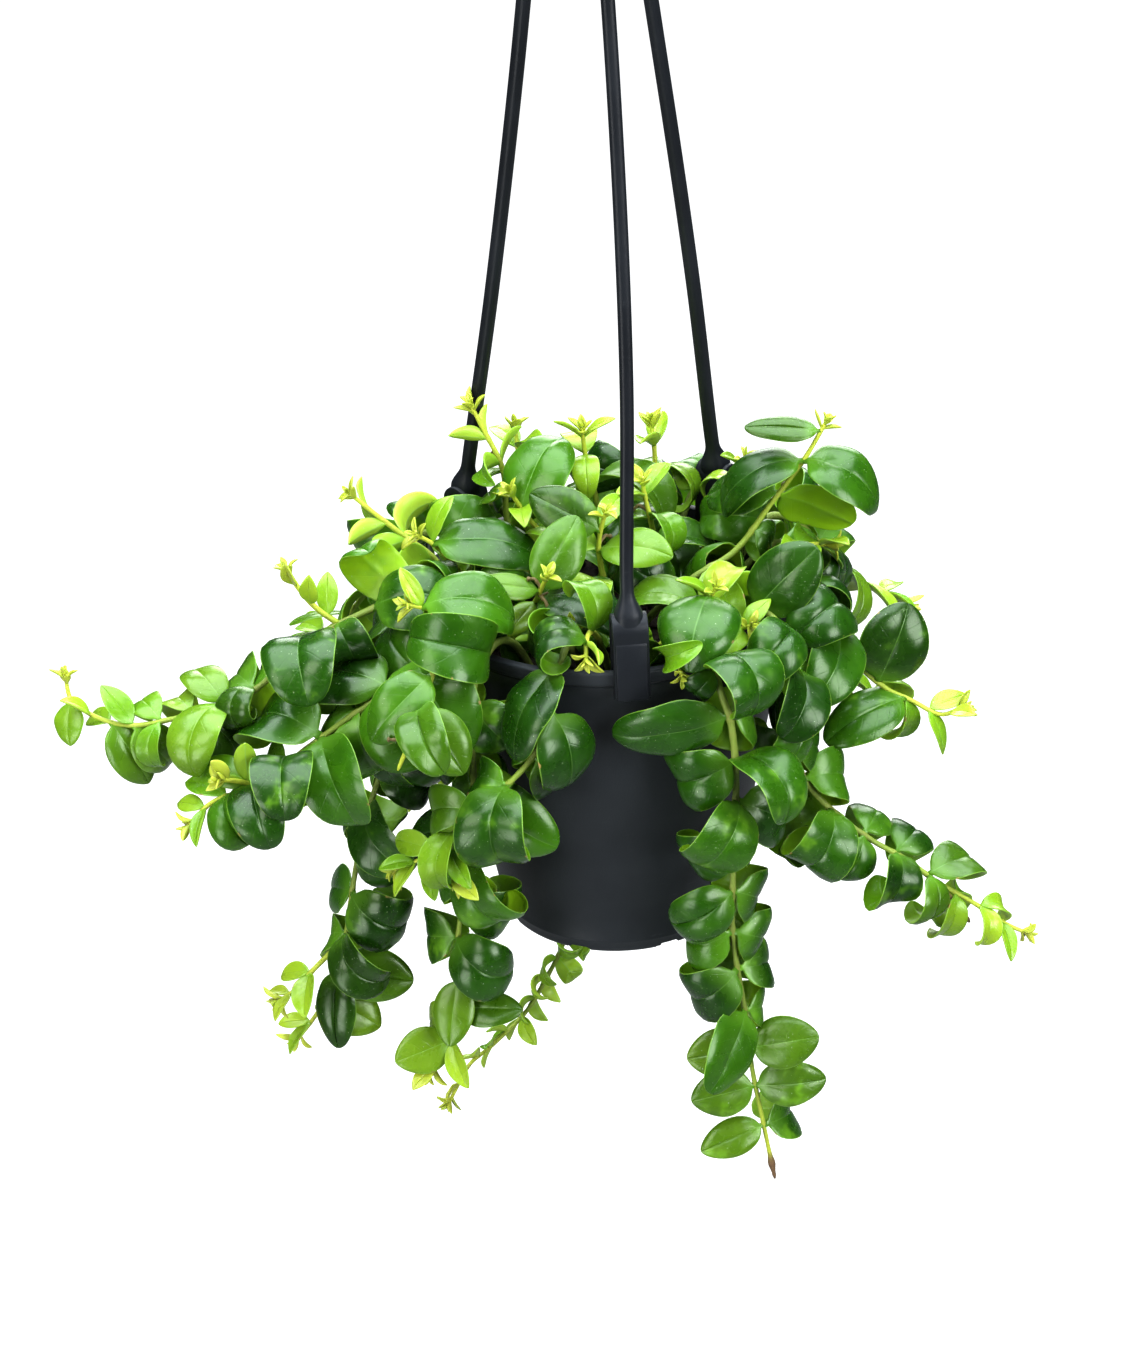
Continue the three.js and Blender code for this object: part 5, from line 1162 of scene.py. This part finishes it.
def outline_at(share, ripeness):
    """Half the blade's width at a share of its length, for a blade two wide. Ripe leaves have a blunt tip."""
    past_stalk = np.clip((share - 0.07) / 0.93, 0.0, 1.0)
    bluntness = 0.85 - 0.44 * ripeness
    return 0.13 * (1 - share) + 0.93 * np.maximum(np.sin(math.pi * past_stalk ** 0.88), 0.0) ** bluntness


def blade_grid(leaf):
    """Places across the blade, from -1 to 1, and along it, from 0 to 1."""
    half, rows = (FEW_COLUMNS, FEW_ROWS) if leaf["length"] < SMALL_LEAF else (MANY_COLUMNS, MANY_ROWS)
    return np.array([-x for x in half[::-1]] + [0.0] + half), np.array(rows, float)


# %% The relief of a blade: how far each point lies out from the midrib, and how far it rises above it
FULLER = 1.06  # the fine blade is this many times as wide as its solid
LEAST_CUP = 1e-4
VALLEY_DEPTH, VALLEY_WIDTH = 0.035, 0.09
MARGIN_ROLL = 0.095
DENTS = ((0.024, 1.7, 2.2), (0.020, 0.9, -4.1))  # depth, count along the blade, slant across it


def blade_relief(leaf, columns, rows, luck):
    side, row = np.abs(columns)[None, :], rows[:, None]
    reach = (leaf["width"] / 2 * FULLER * outline_at(rows, leaf["share"]))[:, None]
    cup = leaf["cup"] + (LEAST_CUP if abs(leaf["cup"]) < LEAST_CUP else 0.0)
    out = np.sign(columns)[None, :] * reach * np.sin(2 * cup * side) / (2 * cup)
    rise = reach * (1 - np.cos(2 * cup * side)) / (2 * cup)
    ripe = smooth_step(0.3, 0.9, leaf["share"])
    swell = luck.choice([0.0, 0.02, 0.04, 0.07]) * ripe + 0.01
    relief = swell * np.sin(math.pi * side ** 0.8) * (1 - 0.5 * row ** 3)
    arch = luck.uniform(-0.02, 0.10) * ripe
    relief = relief - arch * (side ** 2 - 0.3)
    relief = relief - VALLEY_DEPTH * np.exp(-(side / VALLEY_WIDTH) ** 2)
    relief = relief - MARGIN_ROLL * ripe * smooth_step(0.66, 1.0, side) ** 1.6
    flare = luck.uniform(-0.02, 0.16) * smooth_step(1.2, 3.0, leaf["curl"])
    relief = relief + flare * side ** 4
    wave_height = luck.uniform(0.01, 0.05)
    waves = luck.uniform(1.2, 2.2) * row + luck.random() + 0.5 * (columns > 0)[None, :]
    relief = relief + wave_height * np.sin(2 * math.pi * waves) * side ** 2
    for depth, turns, slant in DENTS:
        dents = np.sin(2 * math.pi * (turns * row + luck.random()) + slant * columns[None, :])
        relief = relief + depth * dents * ripe
    return out, rise + reach * smooth_step(0.1, 0.32, row) * relief


def half_thickness(leaf, columns, rows):
    """Half the thickness: round at the stalk, flat with a rounded margin in the blade, thin at the tip."""
    side = np.abs(columns)[None, :]
    stalk = np.sqrt(np.maximum(1 - side ** 2, 0.0))
    blade = (0.5 + 0.5 * (1 - side ** 2)) * np.sqrt(np.maximum(1 - side ** 8, 0.0))
    blend = smooth_step(0.05, 0.2, rows)[:, None]
    tapered = 1 - 0.45 * smooth_step(0.8, 1.0, rows)[:, None]
    return leaf["thick"] / 2 * (stalk * (1 - blend) + blade * blend) * tapered


# %% A fine blade
def blade_frames(leaf, rows):
    """The midrib's points at the rows, with the sideways and the facing direction at each."""
    steps = rows * FINE_STEPS
    rib = midrib(leaf)
    centre = np.column_stack([np.interp(steps, np.arange(FINE_STEPS + 1), rib[:, k]) for k in range(3)])
    bend = (leaf["curl"] * rows ** 1.2)[:, None]
    normal = leaf["upper"] * np.cos(bend) + leaf["ahead"] * np.sin(bend)
    axis = np.cross(leaf["ahead"], leaf["upper"])
    roll = (leaf["twist"] * rows)[:, None]
    right = axis * np.cos(roll) + normal * np.sin(roll)
    face = normal * np.cos(roll) - axis * np.sin(roll)
    return centre, right, face, rib[-1:]


def fine_blade(shell, leaf, luck):
    """Adds one leaf to a shell, with its place on the blade and its growth numbers at each point."""
    columns, rows = blade_grid(leaf)
    centre, right, face, tip = blade_frames(leaf, rows)
    out, rise = blade_relief(leaf, columns, rows, luck)

    def in_space(outward, upward):
        return right[:, None, :] * outward[..., None] + face[:, None, :] * upward[..., None]
    rise_slope, out_slope = np.gradient(rise, columns, axis=1), np.gradient(out, columns, axis=1)
    steep = np.sqrt(rise_slope ** 2 + out_slope ** 2) + 1e-9
    half = half_thickness(leaf, columns, rows)[..., None]
    lift = in_space(-rise_slope / steep, out_slope / steep) * half
    middle = centre[:, None, :] + in_space(out, rise)
    top, low = middle + lift, middle - lift
    points = np.concatenate([top.reshape(-1, 3), low[:, 1:-1].reshape(-1, 3), tip])
    grid = np.broadcast_to(columns, out.shape), np.broadcast_to(rows[:, None], out.shape)
    upper_side = np.where(np.abs(columns) < 0.999, 0.0, 0.5) + np.zeros(out.shape)
    place = np.concatenate([
        np.stack([*grid, upper_side], axis=-1).reshape(-1, 3),
        np.stack([*grid, np.ones(out.shape)], axis=-1)[:, 1:-1].reshape(-1, 3),
        [[0.0, 1.0, 0.5]]])
    growth = np.tile([leaf["share"], luck.random(), luck.random()], (len(points), 1))
    shell.add(points, blade_faces(len(rows), len(columns)), blade=place, growth=growth)


# %% The faces of a blade, the same for every leaf of one grid
known_faces = {}


def blade_faces(rows, columns):
    """Upper and lower faces, a fan at the tip and one face that closes the stalk."""
    if (rows, columns) in known_faces:
        return known_faces[rows, columns]
    inner = columns - 2
    tip = rows * columns + rows * inner

    def low(j, i):
        return j * columns + i if i in (0, columns - 1) else rows * columns + j * inner + i - 1
    made = []
    for j in range(rows - 1):
        for i in range(columns - 1):
            a = j * columns + i
            made.append([a, a + 1, a + columns + 1, a + columns])
            made.append([low(j, i), low(j + 1, i), low(j + 1, i + 1), low(j, i + 1)])
    for i in range(columns - 1):
        end = (rows - 1) * columns + i
        made.append([end, end + 1, tip])
        made.append([low(rows - 1, i + 1), low(rows - 1, i), tip])
    made.append(list(range(columns))[::-1] + [low(0, i) for i in range(1, columns - 1)])
    known_faces[rows, columns] = made
    return made


# %% [markdown]
# ## Stems, tender tips and dry bits
# A stem is round, thickens where each pair of leaves joins it, and runs from olive at the soil to yellow
# at the tip. There three small pairs of leaves still fold round its end. Two stems end bare, one of them
# in a dry husk, and a few leaf stalks and a flower stalk have dried on the plant. Curves with a bevel
# could make the stems. Sweeps are used, since their points also carry their age to the material.

# %% A fine stem
STEM_SIDES, STEM_STEP = 9, 1.7
JOINT_REACH, JOINT_SWELL, HUSK_REACH, HUSK_SWELL = 1.7, 0.22, 3.2, 0.9
YOUNG_STEM = 90.0  # millimetres back from the tip over which a stem turns from yellow to olive


def fine_stem(shell, stem, luck):
    route, thick, dried = stem["route"], stem["thick"], stem["dry"]
    total = route["total"]
    stops = np.linspace(0.0, total, max(6, int(total / STEM_STEP)))
    to_tip = total - stops
    spots = [along(route, stop) for stop in stops]
    places = np.array([spot["place"] for spot in spots])
    joints = np.zeros(len(stops))
    for pair in stem["pairs"]:
        near = np.exp(-((stops - pair["distance"]) / JOINT_REACH) ** 2)
        joints = np.maximum(joints, near * (0.4 + 0.6 * pair["share"]))
    radius = (thick + (TIP_R - thick) * stops / total) * TRUE_ROUND
    radius = radius * (1 + JOINT_SWELL * joints) * (1 + 0.04 * np.sin(stops * 0.9 + luck.random() * 6))
    dry = np.zeros(len(stops))
    if dried:
        radius = radius * (1 + HUSK_SWELL * np.exp(-((to_tip - 0.6 * dried) / HUSK_REACH) ** 2))
        dry = smooth_step(dried * 1.15, dried * 0.7, to_tip)
    radius[-1] *= 0.5
    points, faces = swept_form(places, radius, round_section(STEM_SIDES), spots[0]["sideways"])
    youth = smooth_step(YOUNG_STEM, 0.0, to_tip)
    shell.add(points, faces, stem=np.repeat(np.column_stack([youth, joints, dry]), STEM_SIDES, axis=0))


# %% A tender tip: three small pairs of leaves, as steps back from the tip, lengths and spreads
TENDER_LAYERS = [(3.6, 8.4, 1.15), (1.9, 6.4, 0.85), (0.6, 4.4, 0.5)]


def tender_tip(shell, stem, luck):
    """Each pair stands at an angle to the one below it, and leans less from the stem."""
    route = stem["route"]
    start = luck.uniform(0, math.pi)
    for layer, (back, size, spread) in enumerate(TENDER_LAYERS):
        end = along(route, route["total"] - back)
        for half_turn in (0, math.pi):
            angle = start + layer * 1.4 + half_turn + luck.uniform(-0.25, 0.25)
            radial = end["sideways"] * math.cos(angle) + end["face"] * math.sin(angle)
            ahead = unit(end["heading"] + radial * spread * luck.uniform(0.8, 1.2))
            length = size * luck.uniform(0.85, 1.2)
            upper = across(end["heading"] * 1.2 - radial, ahead)
            leaf = {"origin": end["place"], "ahead": ahead, "upper": upper, "length": length,
                    "curl": luck.uniform(-0.4, 1.2), "twist": luck.uniform(-0.2, 0.2),
                    "cup": luck.uniform(0.3, 0.7), "width": length * luck.uniform(0.40, 0.52),
                    "share": luck.uniform(0.0, 0.1), "thick": 0.8}
            fine_blade(shell, leaf, luck)


# %% Dry bits: a flower stalk on the low right shoot, and leaf stalks
FLOWER_STALK = {"shoot_right_low": [(117, -58, -100.5), (121, -59, -106), (124, -59, -111),
                                    (128.5, -59, -118)]}
# Each leaf stalk has its step back from the stem's tip, its turn round the stem and its length.
DRY_STALKS = {"crown_rosette": [(8.0, 0.5, 7.0), (12.0, 3.3, 8.0), (17.0, 5.0, 7.0), (22.0, 1.7, 9.0)],
              "shoot_front_bare_tip": [(13.0, 2.2, 9.0), (31.0, 4.4, 7.0)],
              "crown_middle": [(15.0, 4.2, 7.0)], "crown_middle_right": [(14.0, 3.6, 7.0)],
              "shoot_right_rising": [(30.0, 4.0, 6.0)], "shoot_left_rising": [(24.0, 1.0, 6.0)]}
TWIG_R, TWIG_STEPS, TWIG_SIDES = 0.75, 18, 8


def dry_twig(shell, points, luck):
    """A thin brown stalk through a few points, with a knob at its end."""
    points = np.array(points, float)
    reach, knots = np.linspace(0.0, 1.0, TWIG_STEPS), np.linspace(0.0, 1.0, len(points))
    line = np.column_stack([np.interp(reach, knots, points[:, k]) for k in range(3)])
    radius = TWIG_R * (1 - 0.25 * reach) * (1 + 0.12 * np.sin(reach * 21 + luck.random()))
    radius[-3:] *= np.array([1.5, 1.6, 0.7])
    form, faces = swept_form(line, radius, round_section(TWIG_SIDES), (0.0, -1.0, 0.0))
    shell.add(form, faces, stem=np.tile([0.0, 0.4, 0.8], (len(form), 1)))


def dried_stalk(shell, stem, back, turn, length, luck):
    """A dry twig that leaves a stem sideways and sags a little."""
    spot = along(stem["route"], stem["route"]["total"] - back)
    radial = spot["sideways"] * math.cos(turn) + spot["face"] * math.sin(turn)
    start = spot["place"]
    bend = start + (radial * 0.55 + spot["heading"] * 0.25) * length
    end = start + (radial + spot["heading"] * 0.15 - UP * 0.25) * length
    dry_twig(shell, [start, bend, end], luck)


# %% Dress every shoot: leaves and stem are two pieces that stand for its one solid
for plant in grown:
    name = plant["shoot"]["name"]
    luck = random.Random(plant["shoot"]["seed"])
    leaves, stems = Shell(), Shell()
    for leaf in plant["leaves"]:
        fine_blade(leaves, leaf, luck)
    for stem in plant["stems"]:
        fine_stem(stems, stem, luck)
        if not stem["bare_end"]:
            tender_tip(leaves, stem, luck)
    if name in FLOWER_STALK:
        dry_twig(stems, FLOWER_STALK[name], luck)
    for back, turn, length in DRY_STALKS.get(name, []):
        dried_stalk(stems, plant["stems"][0], back, turn, length, luck)
    leaves.piece(name + "_leaves", [leaf_skin], "leaf_green", (name,))
    stems.piece(name + "_stem", [stem_skin], "leaf_green", (name,))
print("shoots dressed:", len(grown))

# %% [markdown]
# ## Floor and light
# A plant like this is shown hanging in a pale studio: here above a plain pale floor, before a white
# surround, in soft light from large lamps. A bright surround could light it all, but it would also lie
# as a grey veil on every glossy leaf and leave the crown without depth. So the floor and the surround
# are bright only where the camera sees them, and five softboxes do the lighting: a wide one overhead
# that draws the pale sheen on the leaves, one at the upper left, one at the right, a weak one low at
# the left for the hanging shoots, and one behind.

# %% Floor
FLOOR_HEIGHT, FLOOR_REACH = -1.6, 9
WHITE = (1.0, 1.0, 1.0, 1.0)
floor_finish, bench, shader = new_material("pale_floor")
uneven = bench.band(bench.noise(3.0, 2.0), 0.3, 0.7)
bench.feed(bench.mix(uneven, (0.22, 0.22, 0.22), (0.23, 0.23, 0.23)), shader.inputs["Base Color"])
shader.inputs["Roughness"].default_value = 0.9
shader.inputs["Emission Color"].default_value = WHITE
seen = bench.node("ShaderNodeLightPath").outputs["Is Camera Ray"]
bench.feed(seen, shader.inputs["Emission Strength"])
floor_mesh = bpy.data.meshes.new("floor")
corners = [(x * FLOOR_REACH, y * FLOOR_REACH, FLOOR_HEIGHT) for x, y in ((-1, -1), (1, -1), (1, 1), (-1, 1))]
floor_mesh.from_pydata(corners, [], [[0, 1, 2, 3]])
floor_mesh.materials.append(floor_finish)
floor = bpy.data.objects.new("floor", floor_mesh)
bpy.context.scene.collection.objects.link(floor)
print("floor height in metres:", FLOOR_HEIGHT)

# %% Surround: white for the camera, a faint cool glow for everything else
world = bpy.data.worlds.new("pale surround")
world.use_nodes = True
bench = Bench(world.node_tree)
backdrop, glow = world.node_tree.nodes["Background"], bench.node("ShaderNodeBackground")
for surface, colour, strength in ((backdrop, WHITE, 1.0), (glow, (0.90, 0.96, 1.0, 1.0), 0.08)):
    surface.inputs["Color"].default_value = colour
    surface.inputs["Strength"].default_value = strength
either = bench.node("ShaderNodeMixShader")
seen = bench.node("ShaderNodeLightPath").outputs["Is Camera Ray"]
for value, socket in zip((seen, glow.outputs[0], backdrop.outputs[0]), either.inputs):
    bench.feed(value, socket)
bench.feed(either.outputs[0], world.node_tree.nodes["World Output"].inputs["Surface"])
bpy.context.scene.world = world
print("surround:", world.name)

# %% Softboxes: name, place, width and height, watts and colour
LIT_PLACE = (0.0, 0.0, -0.45)
SOFTBOXES = [("overhead", (0.0, 0.15, 1.5), (3.0, 2.6), 172.0, (0.87, 0.94, 1.0)),
             ("key", (-1.7, -1.6, 1.0), (1.4, 1.4), 38.0, (1.0, 0.98, 0.94)),
             ("side", (1.6, -1.7, 0.5), (1.5, 1.5), 78.0, (0.96, 0.98, 1.0)),
             ("low left", (-1.5, -1.8, -0.8), (1.3, 1.3), 34.0, (0.98, 1.0, 1.0)),
             ("back", (0.3, 2.3, 0.4), (1.8, 1.4), 50.0, (0.97, 0.99, 1.0))]
for name, place, size, power, colour in SOFTBOXES:
    data = bpy.data.lights.new(name, "AREA")
    data.shape, data.size, data.size_y = "RECTANGLE", size[0], size[1]
    data.energy, data.color = power, colour
    lamp = bpy.data.objects.new(name, data)
    lamp.location = place
    lamp.rotation_euler = (Vector(LIT_PLACE) - Vector(place)).to_track_quat("-Z", "Y").to_euler()
    bpy.context.scene.collection.objects.link(lamp)
bpy.context.scene.view_settings.view_transform = "Standard"
bpy.context.scene.view_settings.gamma = 0.84
print("softboxes:", len(SOFTBOXES))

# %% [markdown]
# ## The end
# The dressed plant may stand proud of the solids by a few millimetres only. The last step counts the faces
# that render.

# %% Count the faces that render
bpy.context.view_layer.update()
faces = sum(len(o.data.polygons) for o in bpy.data.objects if o.type == "MESH" and not o.hide_render)
